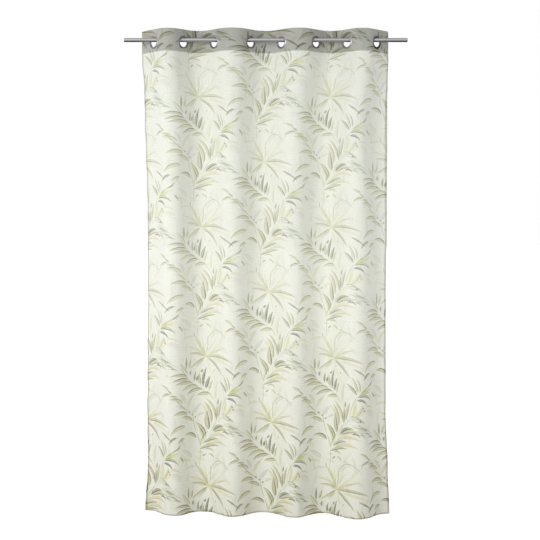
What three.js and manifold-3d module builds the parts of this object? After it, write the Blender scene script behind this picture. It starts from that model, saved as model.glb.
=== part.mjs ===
// Eyelet sheer curtain hanging in soft upright waves on a plain metal rod.
// Millimetres. X runs along the rod, +Y away from the room and +Z up.
// The origin is the middle of the rod's axis.

import * as THREE from "three";
import { mergeVertices } from "three/addons/utils/BufferGeometryUtils.js";
import Module from "manifold-3d";

const wasm = await Module();
wasm.setup();

// Rod
const ROD_LENGTH = 1400;
const ROD_RADIUS = 10;
const ROD_SIDES = 32;

// Gap that neighbouring pieces keep
const CLEARANCE = 0.3;

// Heading: the band at the top, folded double over a stiffener, that holds the eyelets
const TOP_EDGE = 53.4;
const HEADING_HEIGHT = 112;
const HEADING_THICKNESS = 2;
const CORNER_RADIUS = 12;

// Sheer panel below the heading, with a narrow hem along its sides and foot
const CLOTH_THICKNESS = 1.2;
const HEM_THICKNESS = 2;
const HEM_WIDTH = 10;
const HEM_STEP = 1.5;
const FOOT_LEFT = -2338;
const FOOT_RIGHT = -2356;

// Eyelet rings: a rounded ring with a groove round it that grips the heading's cut edge
const RING_WAIST_RADIUS = 22.25;
const RING_OUTER_RADIUS = 32;
const RING_GROOVE_RADIUS = 28;
const RING_DEPTH = 7.6;
const RING_SIDES = 24;
const RING_DROP = 11.5; // the ring's centre hangs this far below the rod's axis
const HOLE_MARGIN = 0.5; // the cloth's hole is this much wider than the groove's floor
const HOLE_SIDES = 32;

// Waves of the cloth, seen from above. Each row is a place where the cloth crosses the rod's
// line, from left to right: at its eyelet, just under the heading and at the foot. The angles
// say how steeply it crosses, in degrees, at the eyelet and in the panel.
const CROSSINGS = [
  { eyelet: -552.5, upper: -537.7, foot: -520.4, eyeletAngle: 45, panelAngle: 49 },
  { eyelet: -408.1, upper: -389.3, foot: -389.3, eyeletAngle: 44, panelAngle: 47 },
  { eyelet: -254.4, upper: -246.0, foot: -228.7, eyeletAngle: 44, panelAngle: 46 },
  { eyelet: -76.4, upper: -92.7, foot: -95.2, eyeletAngle: 44, panelAngle: 46 },
  { eyelet: 77.9, upper: 50.7, foot: 70.5, eyeletAngle: 44, panelAngle: 46 },
  { eyelet: 247.4, upper: 211.4, foot: 208.9, eyeletAngle: 44, panelAngle: 46 },
  { eyelet: 401.7, upper: 357.2, foot: 362.2, eyeletAngle: 44, panelAngle: 48 },
  { eyelet: 546.6, upper: 512.9, foot: 527.8, eyeletAngle: 45, panelAngle: 51 },
];
const UPPER_HEIGHT = -400; // the waves have found their own places from here down
const FLAT_HALF = 33; // the cloth runs straight this far to each side of a crossing
const SWAY = 4; // how far a wave wanders sideways on its way down
const SWAY_LENGTH = 1250;
const SWAY_SHIFT = 1.9; // phase between neighbouring waves, in radians

// Free side edges, from the top down: how far along and behind the rod each one hangs.
const SIDE_EDGES = [
  { height: -60, leftX: -620, leftY: 75, rightX: 612, rightY: 63 },
  { height: -300, leftX: -606, leftY: 70, rightX: 608, rightY: 66 },
  { height: -900, leftX: -590, leftY: 62, rightX: 605, rightY: 62 },
  { height: -1250, leftX: -589, leftY: 60, rightX: 600, rightY: 61 },
  { height: -1850, leftX: -592, leftY: 60, rightX: 600, rightY: 60 },
  { height: -2130, leftX: -590, leftY: 57, rightX: 610, rightY: 58 },
  { height: -2340, leftX: -602, leftY: 55, rightX: 618, rightY: 58 },
];

// Steps of the surfaces
const FOLD_STEPS = 6;
const MARGIN_STEPS = 3;
const UPPER_ROWS = 4;
const LOWER_ROWS = 10;

// Finishes
const SHEER_CLOTH = { color: 0xe6e8d8, roughness: 0.95, metalness: 0 };
const HEADING_CLOTH = { color: 0xaeb09f, roughness: 0.95, metalness: 0 };
const EYELET_METAL = { color: 0xbdbdc0, roughness: 0.3, metalness: 1 };
const ROD_METAL = { color: 0xa5a4a8, roughness: 0.35, metalness: 1 };

const SEAM = TOP_EDGE - HEADING_HEIGHT;
const PANEL_TOP = SEAM - CLEARANCE;
const FOOT_MIDDLE = (FOOT_LEFT + FOOT_RIGHT) / 2;

function finished(name, geometry, finish) {
  const mesh = new THREE.Mesh(geometry, new THREE.MeshStandardMaterial(finish));
  mesh.name = name;
  return mesh;
}

// A value of a table's column at a height, eased between the rows above and below it.
function tableValue(rows, column, height) {
  if (height >= rows[0].height) {
    return rows[0][column];
  }
  const below = rows.findIndex((row) => row.height <= height);
  if (below < 0) {
    return rows[rows.length - 1][column];
  }
  const upper = rows[below - 1];
  const lower = rows[below];
  const share = THREE.MathUtils.smoothstep(-height, -upper.height, -lower.height);
  return THREE.MathUtils.lerp(upper[column], lower[column], share);
}

// The straight stretch of cloth at a crossing. Even crossings run towards the room as X grows,
// odd ones away from it.
function flatAt(crossing, index, height) {
  const eased = THREE.MathUtils.smoothstep(-height, -SEAM, -UPPER_HEIGHT);
  const down = Math.max(0, (UPPER_HEIGHT - height) / (UPPER_HEIGHT - FOOT_MIDDLE));
  const panelX = THREE.MathUtils.lerp(crossing.upper, crossing.foot, down);
  const swing = Math.sin((2 * Math.PI * height) / SWAY_LENGTH + SWAY_SHIFT * index);
  const x = THREE.MathUtils.lerp(crossing.eyelet, panelX + SWAY * swing, eased);
  const degrees = THREE.MathUtils.lerp(crossing.eyeletAngle, crossing.panelAngle, eased);
  const angle = THREE.MathUtils.degToRad(index % 2 === 0 ? -degrees : degrees);
  const along = new THREE.Vector2(Math.cos(angle), Math.sin(angle));
  const middle = new THREE.Vector2(x, 0);
  return {
    angle,
    along,
    start: middle.clone().addScaledVector(along, -FLAT_HALF),
    end: middle.clone().addScaledVector(along, FLAT_HALF),
  };
}

// A rounded fold from one point and direction to another, close to a circular arc.
function foldBetween(start, startAlong, end, endAlong) {
  const turn = Math.acos(THREE.MathUtils.clamp(startAlong.dot(endAlong), -1, 1));
  const reach = start.distanceTo(end) / (3 * Math.cos(turn / 4) ** 2);
  return new THREE.CubicBezierCurve(
    start,
    start.clone().addScaledVector(startAlong, reach),
    end.clone().addScaledVector(endAlong, -reach),
    end,
  );
}

// The free cloth between an end crossing and a side edge bends evenly, so the direction at the
// edge mirrors the one at the crossing.
function mirrored(along, from, to) {
  const chord = to.clone().sub(from).normalize();
  return chord.multiplyScalar(2 * along.dot(chord)).sub(along);
}

// The cloth's plan at one height, as curves from its left edge to its right edge.
function planAt(height) {
  const flats = CROSSINGS.map((crossing, index) => flatAt(crossing, index, height));
  const first = flats[0];
  const last = flats[flats.length - 1];
  const left = new THREE.Vector2(
    tableValue(SIDE_EDGES, "leftX", height),
    tableValue(SIDE_EDGES, "leftY", height),
  );
  const right = new THREE.Vector2(
    tableValue(SIDE_EDGES, "rightX", height),
    tableValue(SIDE_EDGES, "rightY", height),
  );
  const plan = [foldBetween(left, mirrored(first.along, left, first.start), first.start, first.along)];
  flats.forEach((flat, index) => {
    plan.push(new THREE.LineCurve(flat.start, flat.end));
    const next = flats[index + 1];
    if (next) {
      plan.push(foldBetween(flat.end, flat.along, next.start, next.along));
    }
  });
  plan.push(foldBetween(last.end, last.along, right, mirrored(last.along, last.end, right)));
  return plan;
}

// Distances from a side edge at which its free margin has upright lines. Those near the edge
// round the heading's corner and step down from the hem.
function marginDistances(length) {
  const inner = HEM_WIDTH + HEM_STEP;
  const distances = [0, HEM_WIDTH / 3, (HEM_WIDTH * 2) / 3, HEM_WIDTH, inner];
  for (let step = 1; step <= MARGIN_STEPS; step += 1) {
    distances.push(THREE.MathUtils.lerp(inner, length, step / MARGIN_STEPS));
  }
  return distances;
}

// The upright lines of the surface, as places on the plan's curves, with how far each one is
// from its side edge.
function uprightLines() {
  const curves = planAt(PANEL_TOP);
  return curves.flatMap((curve, index) => {
    const length = curve.getLength();
    if (index === 0) {
      return marginDistances(length).map((edge) => ({ index, share: edge / length, edge }));
    }
    if (index === curves.length - 1) {
      const distances = marginDistances(length).reverse().slice(1);
      return distances.map((edge) => ({ index, share: 1 - edge / length, edge }));
    }
    const steps = curve.isLineCurve ? 1 : FOLD_STEPS;
    return Array.from({ length: steps }, (_, step) => ({
      index,
      share: (step + 1) / steps,
      edge: Infinity,
    }));
  });
}

const LINES = uprightLines();

// A closed sheet that follows the plan from row to row. A row has a height for its plan, and
// functions that give the sheet's own height and thickness at each upright line.
function clothSheet(rows) {
  const across = LINES.length - 1;
  const down = rows.length - 1;
  const geometry = new THREE.BoxGeometry(1, 1, 1, across, down, 1);
  const plans = rows.map((row) => planAt(row.height));
  const places = geometry.getAttribute("position");
  for (let vertex = 0; vertex < places.count; vertex += 1) {
    const line = LINES[Math.round((places.getX(vertex) + 0.5) * across)];
    const rowIndex = Math.round((0.5 - places.getY(vertex)) * down);
    const row = rows[rowIndex];
    const curve = plans[rowIndex][line.index];
    const middle = curve.getPoint(line.share);
    const tangent = curve.getTangent(line.share);
    const offset = row.thicknessAt(line) * places.getZ(vertex);
    places.setXYZ(
      vertex,
      middle.x + tangent.y * offset,
      middle.y - tangent.x * offset,
      row.heightAt(line, middle),
    );
  }
  return geometry;
}

function closedMesh(geometry) {
  const bare = geometry.clone();
  bare.deleteAttribute("normal");
  bare.deleteAttribute("uv");
  return mergeVertices(bare, 1e-4);
}

function solidOf(geometry) {
  const merged = closedMesh(geometry);
  const vertProperties = new Float32Array(merged.getAttribute("position").array);
  const triVerts = new Uint32Array(merged.getIndex().array);
  return new wasm.Manifold(new wasm.Mesh({ numProp: 3, vertProperties, triVerts }));
}

function geometryOf(solid) {
  const { vertProperties, triVerts } = solid.getMesh();
  const geometry = new THREE.BufferGeometry();
  geometry.setAttribute("position", new THREE.BufferAttribute(vertProperties, 3));
  geometry.setIndex(new THREE.BufferAttribute(triVerts, 1));
  geometry.computeVertexNormals();
  return geometry;
}

// How far the heading's top edge dips at its rounded right corner.
function cornerDip(line) {
  const last = LINES[LINES.length - 1].index;
  if (line.index !== last || line.edge >= CORNER_RADIUS) {
    return 0;
  }
  const inside = CORNER_RADIUS - line.edge;
  return CORNER_RADIUS - Math.sqrt(CORNER_RADIUS ** 2 - inside ** 2);
}

function eyeletHeading() {
  const thicknessAt = () => HEADING_THICKNESS;
  let strip = solidOf(
    clothSheet([
      { height: TOP_EDGE, thicknessAt, heightAt: (line) => TOP_EDGE - cornerDip(line) },
      { height: SEAM, thicknessAt, heightAt: () => SEAM },
    ]),
  );
  const hole = new THREE.CylinderGeometry(
    RING_GROOVE_RADIUS + HOLE_MARGIN,
    RING_GROOVE_RADIUS + HOLE_MARGIN,
    2 * RING_DEPTH,
    HOLE_SIDES,
  );
  CROSSINGS.forEach((crossing, index) => {
    const cutter = hole.clone();
    cutter.rotateZ(flatAt(crossing, index, 0).angle);
    cutter.translate(crossing.eyelet, 0, -RING_DROP);
    strip = strip.subtract(solidOf(cutter));
  });
  return finished("eyelet_heading", geometryOf(strip), HEADING_CLOTH);
}

function clothPanel() {
  const footAt = (middle) => {
    const share = (middle.x - SIDE_EDGES[0].leftX) / (SIDE_EDGES[0].rightX - SIDE_EDGES[0].leftX);
    return THREE.MathUtils.lerp(FOOT_LEFT, FOOT_RIGHT, THREE.MathUtils.clamp(share, 0, 1));
  };
  const drop = PANEL_TOP - FOOT_MIDDLE;
  const upperShare = (PANEL_TOP - UPPER_HEIGHT) / drop;
  const hemShare = 1 - HEM_WIDTH / drop;
  const shares = [0];
  for (let row = 1; row <= UPPER_ROWS; row += 1) {
    shares.push((upperShare * row) / UPPER_ROWS);
  }
  for (let row = 1; row <= LOWER_ROWS; row += 1) {
    shares.push(THREE.MathUtils.lerp(upperShare, hemShare - HEM_STEP / drop, row / LOWER_ROWS));
  }
  shares.push(hemShare, 1);
  const rows = shares.map((share) => ({
    height: PANEL_TOP - share * drop,
    thicknessAt: (line) =>
      share >= hemShare || line.edge <= HEM_WIDTH ? HEM_THICKNESS : CLOTH_THICKNESS,
    heightAt: (line, middle) => THREE.MathUtils.lerp(PANEL_TOP, footAt(middle), share),
  }));
  return finished("cloth_panel", closedMesh(clothSheet(rows)), SHEER_CLOTH);
}

// The ring's section, from its waist round the room side, the groove and the far side.
function ringSection() {
  const groove = HEADING_THICKNESS / 2 + CLEARANCE;
  const crown = RING_DEPTH / 2;
  const side = [
    { radius: RING_WAIST_RADIUS, depth: 0.6 },
    { radius: RING_WAIST_RADIUS + 1.1, depth: crown - 1 },
    { radius: RING_WAIST_RADIUS + 3.6, depth: crown },
    { radius: RING_OUTER_RADIUS - 2.4, depth: crown - 0.5 },
    { radius: RING_OUTER_RADIUS, depth: groove + 0.6 },
    { radius: RING_OUTER_RADIUS, depth: groove },
    { radius: RING_GROOVE_RADIUS, depth: groove },
  ];
  const near = side.map(({ radius, depth }) => new THREE.Vector2(radius, depth));
  const far = side.map(({ radius, depth }) => new THREE.Vector2(radius, -depth)).reverse();
  return [...near, ...far, near[0].clone()].reverse();
}

function eyeletRing(crossing, index, geometry) {
  const ring = finished(`eyelet_ring_${index + 1}`, geometry, EYELET_METAL);
  ring.rotation.z = flatAt(crossing, index, 0).angle;
  ring.position.set(crossing.eyelet, 0, -RING_DROP);
  return ring;
}

function curtainRod() {
  const rod = finished(
    "curtain_rod",
    new THREE.CylinderGeometry(ROD_RADIUS, ROD_RADIUS, ROD_LENGTH, ROD_SIDES),
    ROD_METAL,
  );
  rod.rotation.z = Math.PI / 2;
  return rod;
}

const curtain = new THREE.Group();
curtain.add(curtainRod());
curtain.add(eyeletHeading());
curtain.add(clothPanel());
const ringGeometry = new THREE.LatheGeometry(ringSection(), RING_SIDES);
CROSSINGS.forEach((crossing, index) => curtain.add(eyeletRing(crossing, index, ringGeometry)));

export default curtain;
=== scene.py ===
"""Finishes an eyelet sheer curtain on its rod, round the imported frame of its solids.

Metres, in the frame's own axes: X along the rod, +Y away from the room, +Z up. Places on the flat
cloth are given as u, from its left edge, and w, down from its top edge.
"""

import math
import random
from typing import NamedTuple

import bmesh
import bpy
import numpy as np
from bpy.props import FloatProperty, FloatVectorProperty, IntProperty, PointerProperty
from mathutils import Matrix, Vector
from mathutils.geometry import delaunay_2d_cdt


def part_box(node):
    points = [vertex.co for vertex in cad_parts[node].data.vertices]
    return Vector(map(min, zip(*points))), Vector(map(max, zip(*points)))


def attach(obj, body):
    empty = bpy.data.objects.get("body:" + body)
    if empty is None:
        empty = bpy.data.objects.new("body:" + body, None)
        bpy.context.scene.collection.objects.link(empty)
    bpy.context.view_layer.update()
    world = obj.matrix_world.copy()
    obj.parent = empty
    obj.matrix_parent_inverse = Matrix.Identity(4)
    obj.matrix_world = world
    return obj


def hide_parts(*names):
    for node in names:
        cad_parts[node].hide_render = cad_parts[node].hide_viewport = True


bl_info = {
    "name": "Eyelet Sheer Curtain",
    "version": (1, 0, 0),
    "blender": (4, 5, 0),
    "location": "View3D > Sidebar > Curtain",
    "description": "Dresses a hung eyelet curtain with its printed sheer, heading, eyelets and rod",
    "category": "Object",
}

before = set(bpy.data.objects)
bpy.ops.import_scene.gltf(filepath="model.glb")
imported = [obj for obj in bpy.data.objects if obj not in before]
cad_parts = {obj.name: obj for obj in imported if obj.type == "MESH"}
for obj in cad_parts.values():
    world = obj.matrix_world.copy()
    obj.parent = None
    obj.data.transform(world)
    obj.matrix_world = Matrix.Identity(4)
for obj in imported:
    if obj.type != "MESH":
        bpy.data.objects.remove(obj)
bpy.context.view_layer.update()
MM = 0.001
# Points closer than this are one point
WELD = 1e-7

# Sizes read from the frame
ROD_LOW, ROD_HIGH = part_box("curtain_rod")
HEADING_LOW, HEADING_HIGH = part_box("eyelet_heading")
PANEL_LOW, PANEL_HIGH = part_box("cloth_panel")
TOP_EDGE = HEADING_HIGH.z
SEAM = HEADING_LOW.z
PANEL_TOP = PANEL_HIGH.z
FOOT_RIGHT = PANEL_LOW.z
HEADING_HEIGHT = TOP_EDGE - SEAM


class Crossing(NamedTuple):
    """Where the cloth crosses the rod's line between two waves, as the solids have it: at its
    eyelet, below the heading and at the foot, and how steeply there, in degrees."""

    eyelet: float
    upper: float
    foot: float
    eyelet_angle: float
    panel_angle: float


CROSSINGS = [
    Crossing(-0.5525, -0.5377, -0.5204, 45, 49),
    Crossing(-0.4081, -0.3893, -0.3893, 44, 47),
    Crossing(-0.2544, -0.2460, -0.2287, 44, 46),
    Crossing(-0.0764, -0.0927, -0.0952, 44, 46),
    Crossing(0.0779, 0.0507, 0.0705, 44, 46),
    Crossing(0.2474, 0.2114, 0.2089, 44, 46),
    Crossing(0.4017, 0.3572, 0.3622, 44, 48),
    Crossing(0.5466, 0.5129, 0.5278, 45, 51),
]


class SideEdge(NamedTuple):
    """The cloth's two side edges at a height: how far along the rod and how far behind its line
    each one hangs."""

    height: float
    left_x: float
    left_y: float
    right_x: float
    right_y: float


SIDE_EDGES = [
    SideEdge(-0.060, -0.620, 0.075, 0.612, 0.063),
    SideEdge(-0.300, -0.606, 0.070, 0.608, 0.066),
    SideEdge(-0.900, -0.590, 0.062, 0.605, 0.062),
    SideEdge(-1.250, -0.589, 0.060, 0.600, 0.061),
    SideEdge(-1.850, -0.592, 0.060, 0.600, 0.060),
    SideEdge(-2.130, -0.590, 0.057, 0.610, 0.058),
    SideEdge(-2.340, -0.602, 0.055, 0.618, 0.058),
]
# Below the heading the waves ease into the panel's own, which they have from this height down
UPPER_HEIGHT = -0.400
# Half of the straight stretch of cloth at a crossing
FLAT_HALF = 0.033
# How far a crossing sways to its sides on the way down, the length of one sway, and how far on in
# it the next crossing is, in radians
SWAY = 0.004
SWAY_LENGTH = 1.250
SWAY_SHIFT = 1.9
# The foot hangs a little lower at its right end than here at its left
FOOT_LEFT = -2.338
FOOT_MIDDLE = (FOOT_LEFT + FOOT_RIGHT) / 2
PANEL_LENGTH = PANEL_TOP - FOOT_MIDDLE
# How far an eyelet's middle hangs below the rod's, and the roundness of the heading's right corner
RING_DROP = 0.0115
CORNER_RADIUS = 0.012

# Steps of the fine surface that every cloth point is taken from, and the heights at which the
# cloth's width is measured
COLUMN_STEP = 0.003
ROW_STEP = 0.008
HEADING_ROWS = 5
CURVE_STEPS = 32
MEASURED_HEIGHTS = 9


def smoothstep(value, low, high):
    """Eased from 0 to 1 as a value goes from low to high."""
    share = np.clip((value - low) / (high - low), 0.0, 1.0)
    return share * share * (3.0 - 2.0 * share)


def lerp(start, end, share):
    """A value that lies a share of the way from start to end."""
    return start + (end - start) * share


def unit(ways):
    """Rows of directions, each made one long."""
    return ways / np.linalg.norm(ways, axis=1, keepdims=True)


def table_value(column, height):
    """A side edge's place at a height, eased between the rows above and below it."""
    rows = SIDE_EDGES
    if height >= rows[0].height:
        return getattr(rows[0], column)
    for upper, lower in zip(rows, rows[1:]):
        if height >= lower.height:
            share = smoothstep(-height, -upper.height, -lower.height)
            return lerp(getattr(upper, column), getattr(lower, column), share)
    return getattr(rows[-1], column)


def flat_at(index, height):
    """The straight stretch of cloth at a crossing: its middle and its direction."""
    crossing = CROSSINGS[index]
    eased = smoothstep(-height, -SEAM, -UPPER_HEIGHT)
    down = max(0.0, (UPPER_HEIGHT - height) / (UPPER_HEIGHT - FOOT_MIDDLE))
    swing = math.sin(2 * math.pi * height / SWAY_LENGTH + SWAY_SHIFT * index)
    panel_x = lerp(crossing.upper, crossing.foot, down) + SWAY * swing
    x = lerp(crossing.eyelet, panel_x, eased)
    degrees = lerp(crossing.eyelet_angle, crossing.panel_angle, eased)
    angle = math.radians(-degrees if index % 2 == 0 else degrees)
    return np.array([x, 0.0]), np.array([math.cos(angle), math.sin(angle)])


def fold_between(start, start_along, end, end_along):
    """The four control points of a rounded fold, with the handles of a circle's arc."""
    turn = math.acos(max(-1.0, min(1.0, float(start_along @ end_along))))
    reach = np.linalg.norm(end - start) / (3 * math.cos(turn / 4) ** 2)
    return np.array([start, start + start_along * reach, end - end_along * reach, end])


def mirrored(along, start, end):
    """The direction at the far end of an even fold that has this one at its near end."""
    chord = (end - start) / np.linalg.norm(end - start)
    return chord * (2 * (along @ chord)) - along


def plan_at(height):
    """Control points of the cloth's plan at a height, from its left edge to its right edge."""
    flats = [flat_at(index, height) for index in range(len(CROSSINGS))]
    starts = [middle - along * FLAT_HALF for middle, along in flats]
    ends = [middle + along * FLAT_HALF for middle, along in flats]
    alongs = [along for _, along in flats]
    left = np.array([table_value("left_x", height), table_value("left_y", height)])
    right = np.array([table_value("right_x", height), table_value("right_y", height)])
    plan = [fold_between(left, mirrored(alongs[0], left, starts[0]), starts[0], alongs[0])]
    for index, (start, end) in enumerate(zip(starts, ends)):
        plan.append(np.array([lerp(start, end, share) for share in (0, 1 / 3, 2 / 3, 1)]))
        if index + 1 < len(flats):
            plan.append(fold_between(end, alongs[index], starts[index + 1], alongs[index + 1]))
    plan.append(fold_between(ends[-1], alongs[-1], right, mirrored(alongs[-1], ends[-1], right)))
    return np.array(plan)


def plan_samples(height):
    """Points along every stretch of the plan, and how far along its stretch each one is."""
    t = np.linspace(0.0, 1.0, CURVE_STEPS + 1)[:, None]
    basis = np.hstack([(1 - t) ** 3, 3 * t * (1 - t) ** 2, 3 * t * t * (1 - t), t**3])
    points = basis @ plan_at(height)
    steps = np.linalg.norm(np.diff(points, axis=1), axis=2)
    lengths = np.concatenate([np.zeros((len(points), 1)), np.cumsum(steps, axis=1)], axis=1)
    return points, lengths


class Crease(NamedTuple):
    """A soft upright crease: where it runs, how deep it goes towards the room and how wide."""

    u: float
    top: float
    foot: float
    lean: float
    depth: float
    width: float


CREASES = [
    Crease(0.045, 0.30, 1.30, 0.010, 0.0012, 0.016),
    Crease(0.148, 1.15, 2.30, -0.012, -0.0010, 0.014),
    Crease(0.262, 0.25, 0.95, 0.012, 0.0011, 0.013),
    Crease(0.428, 1.35, 2.25, 0.010, 0.0012, 0.015),
    Crease(0.512, 0.20, 1.10, -0.014, -0.0010, 0.014),
    Crease(0.640, 1.55, 2.35, 0.008, 0.0013, 0.016),
    Crease(0.802, 0.25, 1.20, 0.012, 0.0011, 0.014),
    Crease(0.890, 1.30, 2.30, -0.010, -0.0012, 0.015),
    Crease(1.012, 0.30, 1.00, -0.012, 0.0011, 0.013),
    Crease(1.175, 1.20, 2.30, 0.012, 0.0012, 0.016),
    Crease(1.260, 0.22, 1.15, 0.010, -0.0010, 0.013),
    Crease(1.432, 1.10, 2.25, -0.012, 0.0013, 0.016),
]
# The pucker below the heading's seam: its depth, the length of one gather, how the gathers stray
# along the cloth, where they start and how fast they fade
PUCKER = 0.00045
PUCKER_LENGTH = 0.017
PUCKER_STRAY, PUCKER_STRAY_RATE = 2.2, 9.0
PUCKER_START = (0.001, 0.006)
PUCKER_FADE = 0.028
# Nearer to the seam than this, the cloth's edges are held straight by it
SEAM_HOLD = 0.05


class Ripple(NamedTuple):
    """Slight waves along a free edge: how deep they are and how fast they fade into the cloth, and
    the two waves that add up to them, with their rates in radians a metre."""

    depth: float
    fade: float
    rate: float
    start: float
    second_rate: float
    second_start: float
    second_share: float
    stray: float = 0.0
    stray_rate: float = 0.0

    def along(self, way):
        """The height of the waves at a way along the edge, as a share of their depth."""
        stray = self.stray * np.sin(self.stray_rate * way)
        second = self.second_share * np.sin(self.second_rate * way + self.second_start)
        return np.sin(self.rate * way + self.start + stray) + second


FOOT_RIPPLE = Ripple(0.0016, 0.16, 61.0, 0.0, 103.0, 0.8, 0.6, 1.3, 14.0)
LEFT_RIPPLE = Ripple(0.0016, 0.035, 41.0, 0.4, 17.0, 0.8, 0.5)
RIGHT_RIPPLE = Ripple(0.0016, 0.035, 41.0, 2.1, 17.0, 4.2, 0.5)


class HungCloth:
    """The curtain's middle surface as a fine grid over its flat cloth."""

    def __init__(self):
        heights = np.linspace(SEAM, FOOT_MIDDLE, MEASURED_HEIGHTS)
        stretches = np.mean([plan_samples(height)[1][:, -1] for height in heights], axis=0)
        starts = np.concatenate([[0.0], np.cumsum(stretches)])
        self.width = float(starts[-1])
        self.length = HEADING_HEIGHT + PANEL_LENGTH
        shares, owners = [np.array([0.0])], [np.array([0])]
        for index, length in enumerate(stretches):
            steps = math.ceil(length / COLUMN_STEP)
            shares.append(np.arange(1, steps + 1) / steps)
            owners.append(np.full(steps, index))
        shares, owners = np.concatenate(shares), np.concatenate(owners)
        self.columns = starts[owners] + shares * stretches[owners]
        heading_rows = np.linspace(0.0, HEADING_HEIGHT, HEADING_ROWS)
        panel_rows = math.ceil(PANEL_LENGTH / ROW_STEP)
        below = HEADING_HEIGHT + PANEL_LENGTH * np.arange(1, panel_rows + 1) / panel_rows
        self.rows = np.concatenate([heading_rows, below])
        self.places = np.array([self.row_places(w, shares, owners) for w in self.rows])
        self.directions = self.room_side(self.places)
        self.places = self.places + self.directions * self.relief()[..., None]
        self.directions = self.room_side(self.places)

    def row_places(self, w, shares, owners):
        """The points of one row of the grid."""
        share = max(0.0, w - HEADING_HEIGHT) / PANEL_LENGTH
        height = TOP_EDGE - w if share == 0.0 else PANEL_TOP - share * PANEL_LENGTH
        points, lengths = plan_samples(height)
        xy = np.empty((len(shares), 2))
        for index in range(len(points)):
            chosen = owners == index
            along = shares[chosen] * lengths[index, -1]
            xy[chosen, 0] = np.interp(along, lengths[index], points[index, :, 0])
            xy[chosen, 1] = np.interp(along, lengths[index], points[index, :, 1])
        left, right = SIDE_EDGES[0].left_x, SIDE_EDGES[0].right_x
        across = np.clip((xy[:, 0] - left) / (right - left), 0, 1)
        foot = lerp(FOOT_LEFT, FOOT_RIGHT, across)
        z = np.full(len(shares), height) if share == 0.0 else lerp(PANEL_TOP, foot, share)
        return np.column_stack([xy, z])

    @staticmethod
    def room_side(places):
        """Unit directions out of the cloth, towards the room."""
        across, down = np.gradient(places, axis=1), np.gradient(places, axis=0)
        out = np.cross(down, across)
        return out / np.linalg.norm(out, axis=2, keepdims=True)

    def relief(self):
        """How far the cloth stands proud of its plain waves, towards the room."""
        u, w = np.meshgrid(self.columns, self.rows)
        below = w - HEADING_HEIGHT
        free = smoothstep(below, 0.0, SEAM_HOLD)
        out = np.zeros_like(u)
        for crease in CREASES:
            share = np.clip((w - crease.top) / (crease.foot - crease.top), 0, 1)
            middle = crease.u + crease.lean * share
            strength = np.sin(np.pi * share) ** 2
            out += crease.depth * strength * np.exp(-(((u - middle) / crease.width) ** 2))
        stray = PUCKER_STRAY * np.sin(PUCKER_STRAY_RATE * u)
        pucker = np.sin(2 * np.pi * u / PUCKER_LENGTH + stray)
        fade = np.exp(-below / PUCKER_FADE) * smoothstep(below, *PUCKER_START)
        out += PUCKER * pucker * np.where(below > 0, fade, 0.0)
        edges = [
            (self.length - w, u, FOOT_RIPPLE),
            (u, w, LEFT_RIPPLE),
            (self.width - u, w, RIGHT_RIPPLE),
        ]
        for from_edge, way, ripple in edges:
            out += ripple.depth * ripple.along(way) * np.exp(-from_edge / ripple.fade) * free
        return out

    def at(self, flat, lift=0.0):
        """Places on the cloth at rows of (u, w), lifted towards the room, and the directions
        out of it there."""
        flat = np.asarray(flat, float)
        column = np.interp(flat[:, 0], self.columns, np.arange(len(self.columns)))
        row = np.interp(flat[:, 1], self.rows, np.arange(len(self.rows)))
        left = np.minimum(column.astype(int), len(self.columns) - 2)
        upper = np.minimum(row.astype(int), len(self.rows) - 2)
        across, down = (column - left)[:, None], (row - upper)[:, None]

        def mixed(grid):
            """A grid's values at the places, from the four grid points round each."""
            top = lerp(grid[upper, left], grid[upper, left + 1], across)
            foot = lerp(grid[upper + 1, left], grid[upper + 1, left + 1], across)
            return lerp(top, foot, down)

        out = mixed(self.directions)
        out = out / np.linalg.norm(out, axis=1, keepdims=True)
        lift = np.broadcast_to(np.asarray(lift, float), (len(flat),))
        return mixed(self.places) + out * lift[:, None], out

    def framed(self, flat, lift):
        """The same, with the directions to the right along the cloth and up it."""
        places, out = self.at(flat, lift)
        right, down = np.array([COLUMN_STEP, 0.0]), np.array([0.0, COLUMN_STEP])
        along = self.at(flat + right)[0] - self.at(flat - right)[0]
        up = self.at(flat - down)[0] - self.at(flat + down)[0]
        return places, out, unit(along), unit(up)

    def top_row(self):
        """Where points of the top edge lie along the rod, and how far along the flat cloth."""
        return self.places[0, :, 0], self.columns


CLOTH = HungCloth()


# The print: leaf sprays in a half-drop repeat, charted. Places are millimetres from a
# spray's own origin, the heart of its star palm, with x to the right and y down the cloth.
REPEAT_LENGTH = 0.647
COLUMN_SPACING = 0.391
FIRST_COLUMN = -0.034
FIRST_ROW = 0.007
# The columns lean: they drift to the right by this share of the way down, and are true here
PRINT_SKEW = 0.024
SKEW_MIDDLE = 1.10
# A leaf's half width at its widest, as a share of its stated width
HALF_WIDTH = 0.49
# Where a leaf is widest: halfway along at 1, and nearer its base below that
LEAF_BELLY = 0.74
# How fast a leaf and a stroke grow from their ends: the lower, the blunter
LEAF_POINT, STROKE_POINT = 0.85, 0.35
# Millimetres of a leaf to each step of its outline, and the limits of their number
LEAF_STEP = 16
FEWEST_STEPS, MOST_STEPS = 3, 7
# How far the line between a leaf's two parts lies off its middle, as a share of its half width
CREASE_SHIFT = 0.28


class Leaf(NamedTuple):
    """One leaf, from its base to its tip. A positive bend swings it to the left of that way, as a
    share of its length. One ink shades its right edge, most of all at its base, and the other
    fills the rest."""

    base: tuple
    tip: tuple
    bend: float
    width: float
    edge_ink: str
    body_ink: str
    strength: float = 1.0
    stroke: bool = False


def offset(place, degrees, reach):
    """The place that is a reach away, at an angle turned up from the right."""
    angle = math.radians(degrees)
    return place[0] + reach * math.cos(angle), place[1] - reach * math.sin(angle)


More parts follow.
